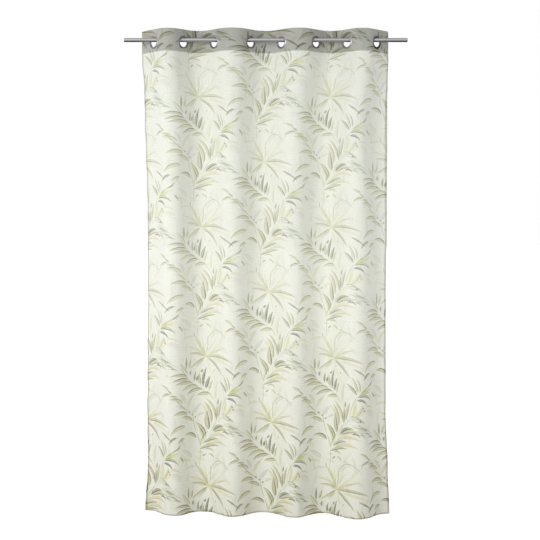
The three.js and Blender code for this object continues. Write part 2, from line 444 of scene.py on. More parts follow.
# Leaves of the star palm, all from its heart: angle, nearest and farthest reach, bend, width,
# inks and strength
STAR = [
    (-8, 4, 182, 0.10, 15, "olive", "tan", 0.9),
    (-15, 42, 178, 0.07, 12, "straw", "blush", 0.7),
    (20, 6, 140, 0.06, 12, "tan", "blush", 0.85),
    (36, 18, 124, 0.03, 9, "lime", "lime", 0.8),
    (56, 26, 118, 0.04, 7, "mist", "mist", 0.7),
    (70, 30, 108, -0.04, 6, "moss", "mist", 0.7),
    (86, 12, 112, -0.06, 6, "olive", "moss", 0.8),
    (101, 8, 112, 0.02, 8, "lime", "straw", 0.8),
    (121, 4, 128, -0.03, 15, "moss", "lime", 0.85),
    (136, 24, 100, 0.03, 6, "mist", "mist", 0.7),
    (153, 8, 120, -0.07, 13, "tan", "blush", 0.8),
    (169, 4, 94, -0.06, 13, "olive", "tan", 0.8),
    (213, 4, 106, 0.05, 16, "olive", "lime", 0.85),
    (229, 15, 78, 0.00, 16, "lilac", "lilac", 0.8),
    (-42, 10, 140, 0.09, 14, "dark", "tan", 0.9),
    (-74, 24, 92, 0.05, 11, "straw", "blush", 0.6),
]
# Pale rays from its heart: their angles, then nearest and farthest reach, width and strength
STAR_RAYS = (-64, -44, -9, 21, 36, 60, 101, 121, 168, 214)
RAY_SIZE = (-5, 46, 5, 0.6)
# Single leaves: base, tip, bend, width, inks and strength
STAR_STROKES = [
    ((120, 44), (198, 98), 0.05, 8, "dark", "olive", 0.9),
    ((-58, -98), (-62, -128), 0.05, 6, "dark", "olive", 0.6),
    ((22, -158), (30, -146), 0.00, 10, "lime", "lime", 0.9),
    ((40, 74), (50, 62), 0.00, 7, "olive", "olive", 0.7),
]
FROND = [
    ((-96, 90), (-152, 26), -0.04, 11, "olive", "lime", 0.9),
    ((-100, 95), (-200, 92), -0.08, 15, "dark", "tan", 0.95),
    ((-94, 110), (-192, 120), -0.07, 17, "dark", "tan", 1.0),
    ((-66, 130), (-178, 134), -0.06, 18, "olive", "tan", 0.95),
    ((-34, 148), (-138, 168), -0.10, 18, "olive", "lime", 0.9),
    ((-16, 163), (-102, 188), -0.10, 18, "dark", "tan", 1.0),
    ((26, 187), (-44, 195), -0.10, 18, "olive", "tan", 0.95),
    ((-108, 60), (-106, -4), 0.04, 12, "dark", "olive", 0.95),
    ((-92, 57), (-77, 10), 0.03, 12, "olive", "tan", 0.95),
    ((-80, 92), (-76, 67), 0.14, 10, "dark", "dark", 0.9),
    ((-54, 125), (-48, 72), 0.07, 10, "dark", "olive", 1.0),
    ((-44, 122), (-36, 94), 0.04, 12, "dark", "olive", 1.0),
    ((-25, 81), (-12, 63), 0.04, 10, "dark", "dark", 0.95),
    ((-26, 142), (-32, 77), 0.04, 15, "olive", "tan", 0.85),
    ((-13, 150), (5, 50), 0.07, 13, "dark", "dark", 1.0),
    ((0, 162), (24, 94), 0.07, 17, "dark", "olive", 1.0),
    ((14, 173), (37, 112), 0.07, 13, "olive", "straw", 0.9),
    ((56, 212), (74, 114), 0.10, 16, "moss", "blush", 0.75),
]
TUFT = [
    ((136, 173), (83, 115), -0.05, 16, "dark", "moss", 1.0),
    ((141, 163), (111, 81), -0.04, 14, "olive", "straw", 0.9),
    ((150, 160), (131, 86), -0.12, 8, "dark", "moss", 0.95),
    ((152, 165), (236, 122), 0.04, 9, "olive", "lime", 0.85),
    ((146, 174), (240, 144), 0.06, 14, "lime", "lime", 1.0),
    ((142, 176), (218, 162), 0.10, 20, "lime", "lime", 0.95),
    ((136, 184), (228, 206), 0.20, 15, "dark", "moss", 1.0),
    ((132, 198), (192, 226), 0.20, 13, "dark", "dark", 0.95),
    ((236, 165), (260, 197), 0.10, 10, "dark", "olive", 0.9),
    ((240, 104), (200, 134), 0.14, 9, "dark", "olive", 0.85),
    ((128, 198), (106, 286), 0.04, 12, "lime", "lime", 0.75),
]
SPIKES = [
    ((70, 236), (78, 203), 0.02, 11, "dark", "olive", 0.85),
    ((73, 298), (102, 204), 0.05, 18, "olive", "tan", 0.9),
    ((61, 315), (70, 234), 0.06, 18, "dark", "tan", 0.9),
    ((110, 284), (134, 200), -0.04, 13, "lime", "lime", 0.8),
    ((122, 278), (172, 218), -0.06, 18, "moss", "straw", 0.85),
    ((134, 276), (190, 234), -0.05, 24, "blush", "blush", 0.6),
    ((56, 302), (-2, 208), -0.11, 16, "olive", "tan", 0.9),
    ((26, 332), (-10, 224), -0.12, 18, "olive", "tan", 0.95),
    ((10, 292), (-22, 236), -0.06, 13, "tan", "blush", 0.8),
    ((36, 212), (18, 190), -0.10, 9, "lime", "straw", 0.7),
    ((15, 366), (6, 268), 0.05, 26, "dark", "tan", 1.0),
    ((-10, 418), (-38, 342), -0.08, 13, "olive", "lime", 0.95),
    ((0, 402), (-48, 326), -0.09, 20, "olive", "tan", 0.95),
]
FAN = [
    ((36, 371), (118, 338), 0.17, 16, "dark", "olive", 1.0),
    ((42, 372), (146, 356), 0.13, 20, "olive", "blush", 0.9),
    ((102, 366), (150, 380), 0.24, 10, "dark", "dark", 0.95),
    ((14, 404), (152, 398), 0.17, 17, "tan", "blush", 0.9),
    ((-13, 435), (82, 404), 0.12, 14, "dark", "moss", 1.0),
    ((-6, 442), (140, 434), 0.14, 18, "moss", "straw", 0.85),
    ((-28, 464), (86, 437), 0.09, 14, "dark", "tan", 0.95),
    ((-8, 464), (47, 473), 0.20, 10, "olive", "moss", 0.9),
    ((-42, 478), (-4, 483), 0.12, 10, "lime", "lime", 0.9),
    ((14, 482), (48, 506), 0.15, 10, "olive", "lime", 0.9),
    ((-16, 500), (4, 486), 0.05, 8, "dark", "olive", 0.85),
]
LEFT_LEAVES = [
    ((-42, 407), (-112, 386), -0.20, 18, "dark", "tan", 1.0),
    ((-112, 402), (-160, 426), -0.14, 15, "olive", "tan", 0.95),
    ((-160, 392), (-212, 428), -0.14, 12, "dark", "olive", 0.95),
    ((-108, 342), (-204, 386), -0.15, 20, "olive", "straw", 0.9),
    ((-60, 323), (-136, 295), -0.12, 18, "olive", "tan", 0.9),
    ((-93, 285), (-186, 285), -0.13, 20, "olive", "tan", 0.95),
    ((-103, 261), (-176, 233), -0.06, 15, "mist", "straw", 0.8),
    ((-126, 227), (-209, 204), -0.10, 18, "olive", "blush", 0.85),
    ((-156, 199), (-209, 190), -0.08, 13, "olive", "lime", 0.9),
    ((-196, 178), (-252, 199), -0.10, 13, "dark", "straw", 1.0),
    ((-190, 176), (-216, 156), 0.03, 10, "dark", "tan", 1.0),
    ((-206, 160), (-256, 134), -0.05, 13, "olive", "lime", 0.9),
    ((-110, 227), (-153, 174), -0.08, 20, "mist", "lilac", 0.85),
    ((-43, 299), (4, 281), 0.12, 14, "moss", "mist", 0.75),
    ((-63, 289), (-17, 233), 0.08, 18, "mist", "lilac", 0.9),
    ((-95, 250), (-53, 190), 0.10, 17, "moss", "straw", 0.7),
]
LOW_LEAVES = [
    ((-64, 502), (-136, 454), -0.06, 24, "mist", "mist", 0.7),
    ((-70, 520), (-136, 506), -0.08, 14, "straw", "lime", 0.7),
    ((-45, 548), (-120, 560), -0.10, 13, "mist", "straw", 0.7),
    ((52, 500), (104, 536), 0.18, 12, "mist", "mist", 0.7),
    ((176, 232), (240, 246), 0.18, 12, "moss", "straw", 0.75),
    ((184, 250), (246, 274), 0.16, 14, "mist", "straw", 0.7),
    ((40, 560), (96, 520), 0.14, 16, "lilac", "mist", 0.65),
    ((-10, 600), (-44, 540), -0.10, 15, "mist", "straw", 0.65),
]
# Stems: both ends, bend, width, inks and strength
STEMS = [
    ((-152, 26), (10, 176), -0.10, 5, "olive", "straw", 0.85),
    ((10, 176), (52, 232), 0.06, 5, "moss", "straw", 0.8),
    ((-200, 172), (-60, 290), -0.05, 5, "olive", "straw", 0.85),
    ((-60, 290), (-42, 380), -0.04, 4, "olive", "moss", 0.85),
    ((-42, 380), (-28, 440), 0.04, 4, "olive", "moss", 0.85),
    ((-28, 405), (-26, 455), 0.04, 6, "lime", "lime", 0.9),
    ((-26, 455), (-34, 560), 0.05, 4, "olive", "mist", 0.7),
    ((15, 366), (-24, 450), -0.10, 5, "olive", "moss", 0.8),
    ((61, 315), (20, 372), 0.04, 5, "olive", "moss", 0.8),
    ((138, 178), (100, 280), -0.07, 4, "olive", "moss", 0.8),
    ((100, 280), (61, 330), 0.05, 4, "moss", "straw", 0.8),
    ((-32, -25), (26, -144), -0.10, 3, "moss", "mist", 0.8),
    ((4, -82), (140, -88), 0.38, 4, "olive", "olive", 0.6),
]
# Buds: their places, then lean, height, width and strength
BUDS = [(-65, 283), (-50, 296), (-84, 268), (168, 232), (172, 244), (150, 296)]
BUD_SIZE = (3, 11, 10, 0.85)
# A feathery patch: the line along which its strokes are strewn, how far off it they start, and
# the least and most of each size
HATCH_SEED = 11
HATCH_STROKES = 46
HATCH_LINE = ((104, 276), (176, 376))
HATCH_SCATTER = (26, 9)
HATCH_ANGLE = (-34, -12)
HATCH_REACH = (30, 66)
HATCH_BEND = 0.12
HATCH_WIDTH = (4, 6.5)
HATCH_STRENGTH = (0.6, 0.9)
HATCH_INKS = [("mist", "mist"), ("olive", "mist"), ("dark", "moss")]
# Faint washes between the sprays, one to each cell of a grid over the repeat: the part of the
# cell where its base lies, and the least and most of each size
WASH_SEED = 29
WASH_CORNER = (-190, -150)
WASH_CELL = (64, 78)
WASH_COLUMNS = 6
WASH_ROWS = 8
WASH_PART = (0.1, 0.9)
WASH_ANGLE = (15, 165)
WASH_REACH = (50, 105)
WASH_BEND = (-0.12, 0.12)
WASH_WIDTH = (8, 21)
WASH_STRENGTH = (0.22, 0.48)
WASH_INKS = ["mist", "lilac", "straw", "blush", "moss"]


def hatch():
    """A pale feathery patch of thin drooping strokes between two sprays."""
    dice = random.Random(HATCH_SEED)
    leaves = []
    start, end = HATCH_LINE
    for index in range(HATCH_STROKES):
        share = index / (HATCH_STROKES - 1)
        base = (
            lerp(start[0], end[0], share) + dice.uniform(-1, 1) * HATCH_SCATTER[0],
            lerp(start[1], end[1], share) + dice.uniform(-1, 1) * HATCH_SCATTER[1],
        )
        tip = offset(base, dice.uniform(*HATCH_ANGLE), dice.uniform(*HATCH_REACH))
        inks = dice.choice(HATCH_INKS)
        width, strength = dice.uniform(*HATCH_WIDTH), dice.uniform(*HATCH_STRENGTH)
        leaves.append(Leaf(base, tip, HATCH_BEND, width, *inks, strength))
    return leaves


def washes():
    """Large faint leaves behind the sprays."""
    dice = random.Random(WASH_SEED)
    leaves = []
    for index in range(WASH_COLUMNS * WASH_ROWS):
        column, row = index % WASH_COLUMNS, index // WASH_COLUMNS
        base = (
            WASH_CORNER[0] + WASH_CELL[0] * (column + dice.uniform(*WASH_PART)),
            WASH_CORNER[1] + WASH_CELL[1] * (row + dice.uniform(*WASH_PART)),
        )
        tip = offset(base, dice.uniform(*WASH_ANGLE), dice.uniform(*WASH_REACH))
        bend, width = dice.uniform(*WASH_BEND), dice.uniform(*WASH_WIDTH)
        ink, strength = dice.choice(WASH_INKS), dice.uniform(*WASH_STRENGTH)
        leaves.append(Leaf(base, tip, bend, width, ink, "mist", strength))
    return leaves


def spray():
    """Every leaf, stem and bud of one repeat, the faintest first."""
    leaves = washes() + hatch()
    for angle, near, far, *rest in STAR:
        leaves.append(Leaf(offset((0, 0), angle, near), offset((0, 0), angle, far), *rest))
    near, far, width, strength = RAY_SIZE
    for angle in STAR_RAYS:
        ends = offset((0, 0), angle, near), offset((0, 0), angle, far)
        leaves.append(Leaf(*ends, 0.0, width, "lime", "lime", strength, True))
    for table in (STAR_STROKES, FROND, TUFT, SPIKES, FAN, LEFT_LEAVES, LOW_LEAVES):
        leaves += [Leaf(*row) for row in table]
    leaves += [Leaf(*row, True) for row in STEMS]
    lean, height, width, strength = BUD_SIZE
    for x, y in BUDS:
        tip = (x + lean, y + height)
        leaves.append(Leaf((x, y), tip, 0.0, width, "dark", "olive", strength))
    return leaves


class Outline(NamedTuple):
    """A leaf on the flat cloth: its left and right edge without their ends, the line between its
    light and dark part, its half widths there and its leaf."""

    left: np.ndarray
    right: np.ndarray
    crease: np.ndarray
    halves: np.ndarray
    leaf: Leaf


def outline_of(leaf, origin):
    """A leaf's outline on the flat cloth, for a spray with its origin there."""
    base, tip = np.array(leaf.base, float), np.array(leaf.tip, float)
    chord = tip - base
    length = np.linalg.norm(chord)
    side = np.array([chord[1], -chord[0]])
    control = (base + tip) / 2 + 2 * leaf.bend * side
    steps = min(MOST_STEPS, max(FEWEST_STEPS, round(length / LEAF_STEP)))
    t = np.linspace(0.0, 1.0, steps + 1)
    middle = (1 - t)[:, None] ** 2 * base + (2 * t * (1 - t))[:, None] * control
    middle = origin + (middle + (t**2)[:, None] * tip) * MM
    profile = np.sin(np.pi * t**LEAF_BELLY) ** (STROKE_POINT if leaf.stroke else LEAF_POINT)
    profile[0] = profile[-1] = 0.0
    halves = leaf.width * HALF_WIDTH * profile * MM
    along = unit(np.gradient(middle, axis=0))
    across = np.column_stack([along[:, 1], -along[:, 0]]) * halves[:, None]
    crease = middle - across * CREASE_SHIFT
    return Outline((middle + across)[1:-1], (middle - across)[1:-1], crease, halves, leaf)


def printed_leaves(left, right, top, foot):
    """The outlines of the leaves that reach into a rectangle of the flat cloth."""
    leaves = spray()
    outlines = []
    column, u = 0, FIRST_COLUMN
    while u < right + COLUMN_SPACING:
        w = FIRST_ROW - REPEAT_LENGTH + (REPEAT_LENGTH / 2 if column % 2 else 0.0)
        while w < foot + REPEAT_LENGTH:
            drift = PRINT_SKEW * (w - SKEW_MIDDLE)
            for leaf in leaves:
                outline = outline_of(leaf, np.array([u + drift, w]))
                low = outline.crease.min(axis=0) - leaf.width * MM
                high = outline.crease.max(axis=0) + leaf.width * MM
                if low[0] < right and high[0] > left and low[1] < foot and high[1] > top:
                    outlines.append(outline)
            w += REPEAT_LENGTH
        column += 1
        u += COLUMN_SPACING
    return outlines


# How a leaf is inked on its dark and its light part, from the line between them to the edge: the
# share of the edge's ink, and how much ink it holds. The edge's ink fades towards the tip.
DARK_SHADE, LIGHT_SHADE = (0.68, 1.0), (0.12, 0.46)
DARK_HOLD, LIGHT_HOLD = (0.96, 1.0), (0.52, 0.78)
TIP_FADE = 0.30
# How dense the ink is in red, green and blue: high on the sheer, at its foot, and on the doubled
# cloth of the heading. It deepens between two places down the drop: painted light pales the print
# up high and painted shade deepens it towards the foot.
INK_PALED_BY_PAINTED_LIGHT = np.array([0.72, 0.68, 0.67])
INK_DEEPENED_BY_PAINTED_SHADE = np.array([1.27, 1.29, 1.49])
DOUBLE_INK = np.array([1.15, 1.11, 1.12])
PAINTED_SHADE_DEEPENING = (1.1, 2.3)


def drop_density_with_painted_light(w):
    """How dense the ink is on the sheer at places down its drop: paler up high as painted light,
    deeper at the foot as painted shade.
    """
    return lerp(INK_PALED_BY_PAINTED_LIGHT, INK_DEEPENED_BY_PAINTED_SHADE, smoothstep(w, *PAINTED_SHADE_DEEPENING)[..., None])


def heading_density(w):
    """How dense the ink is on the heading: the same all over."""
    return DOUBLE_INK


def tint_at(outline, corners, inks):
    """How much of each colour a leaf's ink lets through at the corners of triangles on it."""
    crease, leaf = outline.crease, outline.leaf
    starts, steps = crease[:-1], np.diff(crease, axis=0)

    def nearest(points):
        """The nearest part of the crease, the share along it, and the way from it."""
        reach = points[:, None, :] - starts[None]
        shares = np.clip((reach * steps).sum(2) / (steps**2).sum(1), 0.0, 1.0)
        away = reach - shares[..., None] * steps
        part = np.linalg.norm(away, axis=2).argmin(axis=1)
        row = np.arange(len(points))
        return part, shares[row, part], away[row, part]

    part, share, away = nearest(corners.mean(axis=1))
    dark = np.repeat(steps[part, 0] * away[:, 1] > steps[part, 1] * away[:, 0], 3)
    part, share, away = nearest(corners.reshape(-1, 2))
    half = lerp(outline.halves[part], outline.halves[part + 1], share)
    half = half * np.where(dark, 1 - CREASE_SHIFT, 1 + CREASE_SHIFT)
    across = np.clip(np.linalg.norm(away, axis=1) / np.maximum(half, WELD), 0.0, 1.0)
    along = (part + share) / len(steps)
    hold = np.where(dark, lerp(*DARK_HOLD, across), lerp(*LIGHT_HOLD, across))
    shade = np.where(dark, lerp(*DARK_SHADE, across), lerp(*LIGHT_SHADE, across))
    shade = (shade * (1.0 - TIP_FADE * along))[:, None]
    body, edge = np.array(getattr(inks, leaf.body_ink)), np.array(getattr(inks, leaf.edge_ink))
    ink = lerp(body, edge, shade)
    return (1.0 - leaf.strength * hold[:, None] * (1.0 - ink)).reshape(-1, 3, 3)


# Cloth turned over at an edge
class Turn(NamedTuple):
    """Cloth near a turned edge: how far in from the edge it lies, and how much it faces out of
    the curtain and along it, as shares."""

    inward: np.ndarray
    out: np.ndarray
    rim: np.ndarray


def turned(reach, radius):
    """Turns cloth over an edge. Its reach is the way along it from the very edge, and negative
    on the far side."""
    quarter = math.pi / 2 * radius
    way = np.abs(reach)
    angle = np.clip(way / radius, 0.0, math.pi / 2)
    inward = np.where(way < quarter, radius * (1 - np.cos(angle)), way - quarter + radius)
    return Turn(inward, np.sign(reach) * np.sin(angle), np.cos(angle))


# Radii at which the sheer turns over at its sides and foot
SIDE_TURN = 0.00035
FOOT_TURN = 0.0005
# Half the heading's thickness, at which it turns over too, and the cloth that each turn takes up
BAND_HALF = 0.001
BAND_SPARE = (math.pi / 2 - 1) * BAND_HALF
# How far down the heading its rounded corner is felt
CORNER_FADE = 0.030


def sheer_surface(flat):
    """Places and directions out of the sheer panel, hems included, at rows of (u, w). Beyond its
    edges the cloth is turned to the back."""
    u, w = flat.T
    left, right = turned(u, SIDE_TURN), turned(CLOTH.width - u, SIDE_TURN)
    foot = turned(CLOTH.length - w, FOOT_TURN)
    across = np.where(u < CLOTH.width / 2, left.inward, CLOTH.width - right.inward)
    down = np.where(w < CLOTH.length / 2, w, CLOTH.length - foot.inward)
    lift = SIDE_TURN * (left.out + right.out - 2) + FOOT_TURN * (foot.out - 1)
    places, out, along, up = CLOTH.framed(np.column_stack([across, down]), lift)
    share = (left.out * right.out * foot.out)[:, None]
    rims = along * (right.rim - left.rim)[:, None] - up * foot.rim[:, None]
    return places, unit(out * share + rims)


def corner_dip(across, down):
    """How far the heading's top edge is rounded off at its right corner."""
    inside = np.clip(across - (CLOTH.width - CORNER_RADIUS), 0.0, CORNER_RADIUS)
    dip = CORNER_RADIUS - np.sqrt(CORNER_RADIUS**2 - inside**2)
    return dip * (1 - smoothstep(down, 0.0, CORNER_FADE))


def heading_surface(flat):
    """Places and directions out of the heading band at rows of (u, w). Above its top edge, where
    w is negative, the cloth is turned to the back."""
    u, w = flat.T
    left = turned(u + BAND_SPARE, BAND_HALF)
    right = turned(CLOTH.width - u + BAND_SPARE, BAND_HALF)
    top = turned(w, BAND_HALF)
    foot = turned(HEADING_HEIGHT + 2 * BAND_SPARE - np.abs(w), BAND_HALF)
    across = np.where(u < CLOTH.width / 2, left.inward, CLOTH.width - right.inward)
    down = np.where(np.abs(w) < HEADING_HEIGHT / 2, top.inward, HEADING_HEIGHT - foot.inward)
    down = down + corner_dip(across, down)
    share = left.out * right.out * top.out * foot.out
    places, out, along, up = CLOTH.framed(np.column_stack([across, down]), BAND_HALF * share)
    rims = along * (right.rim - left.rim)[:, None] + up * (top.rim - foot.rim)[:, None]
    return places, unit(out * share[:, None] + rims)


# Meshes of the cloth, cut along the print's outlines: the spaces between the points that follow
# the waves, where in its space a row's first point lies, and the names of what a mesh carries
COLUMN_SPACE = 0.008
ROW_SPACE = 0.032
EDGE_SPACE = 0.005
ROW_STAGGER = (0.25, 0.75)
CLOTH_MAP = "Cloth"
BAKE_MAP = "OFBake"
PRINT_TINT = "print_tint"


def stepped(start, end, across=EDGE_SPACE, down=ROW_SPACE / 2):
    """Points from a start up to, but not at, an end, close enough for the waves."""
    start, end = np.array(start, float), np.array(end, float)
    way = np.abs(end - start)
    steps = max(1, math.ceil(max(way[0] / across, way[1] / down)))
    return start + (end - start) * (np.arange(steps) / steps)[:, None]


def closed_outline(corners):
    """Points all round an outline, from its corners."""
    following = corners[1:] + corners[:1]
    return np.vstack([stepped(start, end) for start, end in zip(corners, following)])


class FlatSheet:
    """A piece of flat cloth in triangles that follow the print, with the print's tint at every
    corner of each triangle. Its outline is its first face, and its holes and leaves follow."""

    def __init__(self, outline, holes, lines, leaves, inks, density):
        self.points, self.edges, self.faces = [], [], []
        self.add_face(outline)
        for hole in holes:
            self.add_face(hole)
        for start, end in lines:
            self.add_line(np.vstack([stepped(start, end), [end]]))
        low, high = outline.min(axis=0), outline.max(axis=0)
        for row, w in enumerate(np.arange(low[1] + ROW_SPACE / 2, high[1], ROW_SPACE)):
            first = low[0] + COLUMN_SPACE * ROW_STAGGER[row % 2]
            for u in np.arange(first, high[0], COLUMN_SPACE):
                self.points.append((u, w))
        first_leaf = len(self.faces)
        for leaf in leaves:
            base, tip = leaf.crease[:1], leaf.crease[-1:]
            self.add_line(leaf.crease)
            self.add_face(np.vstack([base, leaf.left, tip, leaf.right[::-1]]))
        self.solve(len(holes), first_leaf, leaves, inks, density)

    def add_points(self, points):
        first = len(self.points)
        self.points.extend(map(tuple, points))
        return list(range(first, first + len(points)))

    def add_face(self, points):
        self.faces.append(self.add_points(points))

    def add_line(self, points):
        added = self.add_points(points)
        self.edges.extend(zip(added, added[1:]))

    def solve(self, hole_count, first_leaf, leaves, inks, density):
        """Makes the triangles, inks those under each leaf and keeps those in the outline."""
        points = [Vector(point) for point in self.points]
        made = delaunay_2d_cdt(points, self.edges, self.faces, 0, WELD, True)
        flat, triangles, owners = np.array(made[0]), np.array(made[2]), made[5]
        counts = [len(own) for own in owners]
        triangle_ids = np.repeat(np.arange(len(owners)), counts)
        face_ids = np.fromiter((face for own in owners for face in own), int)
        tints = np.ones((len(triangles), 3, 3))
        by_face = np.argsort(face_ids, kind="stable")
        triangle_ids, face_ids = triangle_ids[by_face], face_ids[by_face]
        limits = np.searchsorted(face_ids, np.arange(first_leaf, first_leaf + len(leaves) + 1))
        for leaf, start, end in zip(leaves, limits, limits[1:]):
            under = triangle_ids[start:end]
            tints[under] *= tint_at(leaf, flat[triangles[under]], inks)
        tints **= density(flat[triangles][..., 1])
        kept = np.zeros(len(triangles), bool)
        kept[triangle_ids[face_ids == 0]] = True
        kept[triangle_ids[(face_ids > 0) & (face_ids <= hole_count)]] = False
        used, renumbered = np.unique(triangles[kept], return_inverse=True)
        self.flat = flat[used]
        self.triangles = renumbered.reshape(-1, 3)[:, ::-1]
        self.tints = tints[kept][:, ::-1]

    def middles(self):
        return self.flat[self.triangles].mean(axis=1)


def placed(name, data):
    """Puts a mesh, a lamp or a camera into the scene."""
    piece = bpy.data.objects.new(name, data)
    bpy.context.scene.collection.objects.link(piece)
    return piece


def cloth_object(name, sheet, surface, finishes, finish_ids):
    """A cloth piece: its mesh on the hung surface, with the print's tints and its two maps."""
    places, normals = surface(sheet.flat)
    mesh = bpy.data.meshes.new(name)
    mesh.from_pydata(places.tolist(), [], sheet.triangles.tolist())
    corners = sheet.flat[sheet.triangles].reshape(-1, 2)
    low, high = corners.min(axis=0), corners.max(axis=0)
    cloth_map = mesh.uv_layers.new(name=CLOTH_MAP)
    cloth_map.uv.foreach_set("vector", (corners * (1, -1)).ravel())
    bake_map = mesh.uv_layers.new(name=BAKE_MAP)
    shares = (corners - low) / (high - low)
    bake_map.uv.foreach_set("vector", np.column_stack([shares[:, 0], 1 - shares[:, 1]]).ravel())
    tint = mesh.color_attributes.new(PRINT_TINT, "FLOAT_COLOR", "CORNER")
    tints = np.column_stack([sheet.tints.reshape(-1, 3), np.ones(len(corners))])
    tint.data.foreach_set("color", tints.ravel())
    mesh.polygons.foreach_set("material_index", finish_ids)
    for finish in finishes:
        mesh.materials.append(finish)
    mesh.normals_split_custom_set_from_vertices(normals.tolist())
    return placed(name, mesh)


# Stitches
STITCH_HEIGHT = 0.0004


def stitch_centres(start, end, pitch):
    """Middles of the stitches of a straight seam on the flat cloth, and the way it runs."""
    start, end = np.array(start, float), np.array(end, float)
    length = np.linalg.norm(end - start)
    count = int(length / pitch)
    shares = (np.arange(count) + 0.5) / count
    return start + (end - start) * shares[:, None], (end - start) / length


def stitches(surface, start, end, sewing):
    """The points and triangles of one seam's stitches, each a small pointed lozenge."""
    centres, way = stitch_centres(start, end, sewing.stitch_length + sewing.stitch_gap)
    half = sewing.stitch_length / 2
    places, out = surface(centres)
    behind, ahead = (surface(centres + way * reach)[0] for reach in (-half, half))
    side = unit(np.cross(out, ahead - behind)) * (sewing.thread_width / 2)
    rise = out * STITCH_HEIGHT
    ends, ring = [behind, ahead], [places + side, places + rise, places - side, places - rise]
    points = np.stack([*ends, *ring], axis=1)
    first = np.arange(len(centres)) * points.shape[1]
    faces = []
    for turn in range(len(ring)):
        this, following = len(ends) + turn, len(ends) + (turn + 1) % len(ring)
        faces.append((0, following, this))
        faces.append((1, this, following))
    triangles = first[:, None, None] + np.array(faces)[None]
    return points.reshape(-1, 3), triangles.reshape(-1, 3)


# Turned metal: creases sharper than this stay sharp
SHARP_ANGLE = math.radians(38)


def lathed(profile, sides, closed):
    """Points and faces of a section turned round the local X axis. A row of the profile is
    (along, radius)."""
    profile = np.array(profile, float)
    angles = 2 * np.pi * np.arange(sides) / sides
    along = np.broadcast_to(profile[:, 0], (sides, len(profile)))
    points = np.stack(
        [along, np.outer(np.cos(angles), profile[:, 1]), np.outer(np.sin(angles), profile[:, 1])],
        axis=2,
    )
    steps = len(profile) if closed else len(profile) - 1
    faces = []
    for side in range(sides):
        this, following = side * len(profile), (side + 1) % sides * len(profile)
        for step in range(steps):
            ahead = (step + 1) % len(profile)
            faces.append((this + step, this + ahead, following + ahead, following + step))
    return points.reshape(-1, 3), faces


def metal_object(name, profile, sides, closed, finish, axis, middle):
    """A turned metal piece, set at its place with its axis along a direction of the plan."""
    points, faces = lathed(profile, sides, closed)
    along = np.array([axis[0], axis[1], 0.0])
    across = np.array([-axis[1], axis[0], 0.0])
    frame_axes = np.array([along, across, [0.0, 0.0, 1.0]])
    mesh = bpy.data.meshes.new(name)
    mesh.from_pydata((points @ frame_axes + np.array(middle)).tolist(), [], faces)
    solid = bmesh.new()
    solid.from_mesh(mesh)
    bmesh.ops.remove_doubles(solid, verts=solid.verts, dist=WELD)
    bmesh.ops.recalc_face_normals(solid, faces=solid.faces)
    solid.to_mesh(mesh)
    solid.free()
    mesh.shade_smooth()
    mesh.set_sharp_from_angle(angle=SHARP_ANGLE)
    mesh.materials.append(finish)
    return placed(name, mesh)


# The eyelet's section on the room side, in millimetres along its axis and out from it: from the
# bore over the crown and under its rim to the floor of the groove. The curve has this many steps
# from one point to the next.
CURVE_SHARE = 4
RING_CROWN = [
    (0.0, 22.25),
    (1.1, 22.4),
    (2.15, 22.75),
    (2.95, 23.5),
    (3.5, 24.6),
    (3.8, 26.0),
    (3.78, 27.6),
    (3.5, 29.2),
    (3.05, 30.6),
    (2.45, 31.6),
    (1.85, 32.0),
    (1.45, 31.85),
    (1.3, 31.4),
    (1.3, 28.0),
]


def rounded(points, steps):
    """A smooth curve through points, by the usual four-point rule."""
    points = np.array(points, float)
    padded = np.vstack([2 * points[0] - points[1], points, 2 * points[-1] - points[-2]])
    made = []
    for before, start, end, after in zip(padded, padded[1:], padded[2:], padded[3:]):
        t = (np.arange(steps) / steps)[:, None]
        made.append(
            0.5
            * (
                2 * start
                + (end - before) * t
                + (2 * before - 5 * start + 4 * end - after) * t**2
                + (3 * start - before - 3 * end + after) * t**3
            )
        )
    return np.vstack([*made, points[-1:]])


def ring_profile():
    """The eyelet's whole section: the crown on the room side, the groove and the same behind."""
    crown = rounded(RING_CROWN[:-1], CURVE_SHARE)
    near = np.vstack([crown[1:], RING_CROWN[-1:]]) * MM
    far = near[::-1] * (-1, 1)
    waist = np.array(RING_CROWN[:1]) * MM
    return np.vstack([waist, near, far])


# The rod's softened ends, its wall, and how deep the plugs sit in it
ROD_CHAMFER = 0.0008
TUBE_WALL = 0.0016
PLUG_DEPTH = 0.0012


def rod_profile():
    """The rod's section: a tube with softened ends, each closed by a plug set just inside."""
    half = (ROD_HIGH.x - ROD_LOW.x) / 2
    radius = (ROD_HIGH.z - ROD_LOW.z) / 2
    end = [
        (half - PLUG_DEPTH, 0.0),
        (half - PLUG_DEPTH, radius - TUBE_WALL),
        (half, radius - TUBE_WALL),
        (half, radius - ROD_CHAMFER),
        (half - ROD_CHAMFER, radius),
    ]
    far = [(-along, reach) for along, reach in reversed(end)]
    return end + far


# Finishes: white, the colour sockets of a Mix node, and how many layers of detail a noise has
WHITE = (1.0, 1.0, 1.0, 1.0)
MIX_FACTOR, MIX_FIRST, MIX_SECOND, MIX_RESULT = 0, 6, 7, 2
PLAIN_DETAIL, RICH_DETAIL = 2.0, 3.0


class Value:
    """A socket of a node, on which Python's operators add Math nodes."""

    def __init__(self, nodes, socket):
        self.nodes = nodes
        self.socket = socket

    def maths(self, operation, first, second):
        return self.nodes.node("ShaderNodeMath", {"operation": operation}, {0: first, 1: second})

    def __add__(self, other):
        return self.maths("ADD", self, other)

    def __radd__(self, other):
        return self.maths("ADD", other, self)

    def __sub__(self, other):
        return self.maths("SUBTRACT", self, other)

    def __rsub__(self, other):
        return self.maths("SUBTRACT", other, self)

    def __mul__(self, other):
        return self.maths("MULTIPLY", self, other)

    def __rmul__(self, other):
        return self.maths("MULTIPLY", other, self)

    def clamped(self):
        """The same, kept between nothing and one."""
        return self.nodes.node("ShaderNodeClamp", {}, {"Value": self})


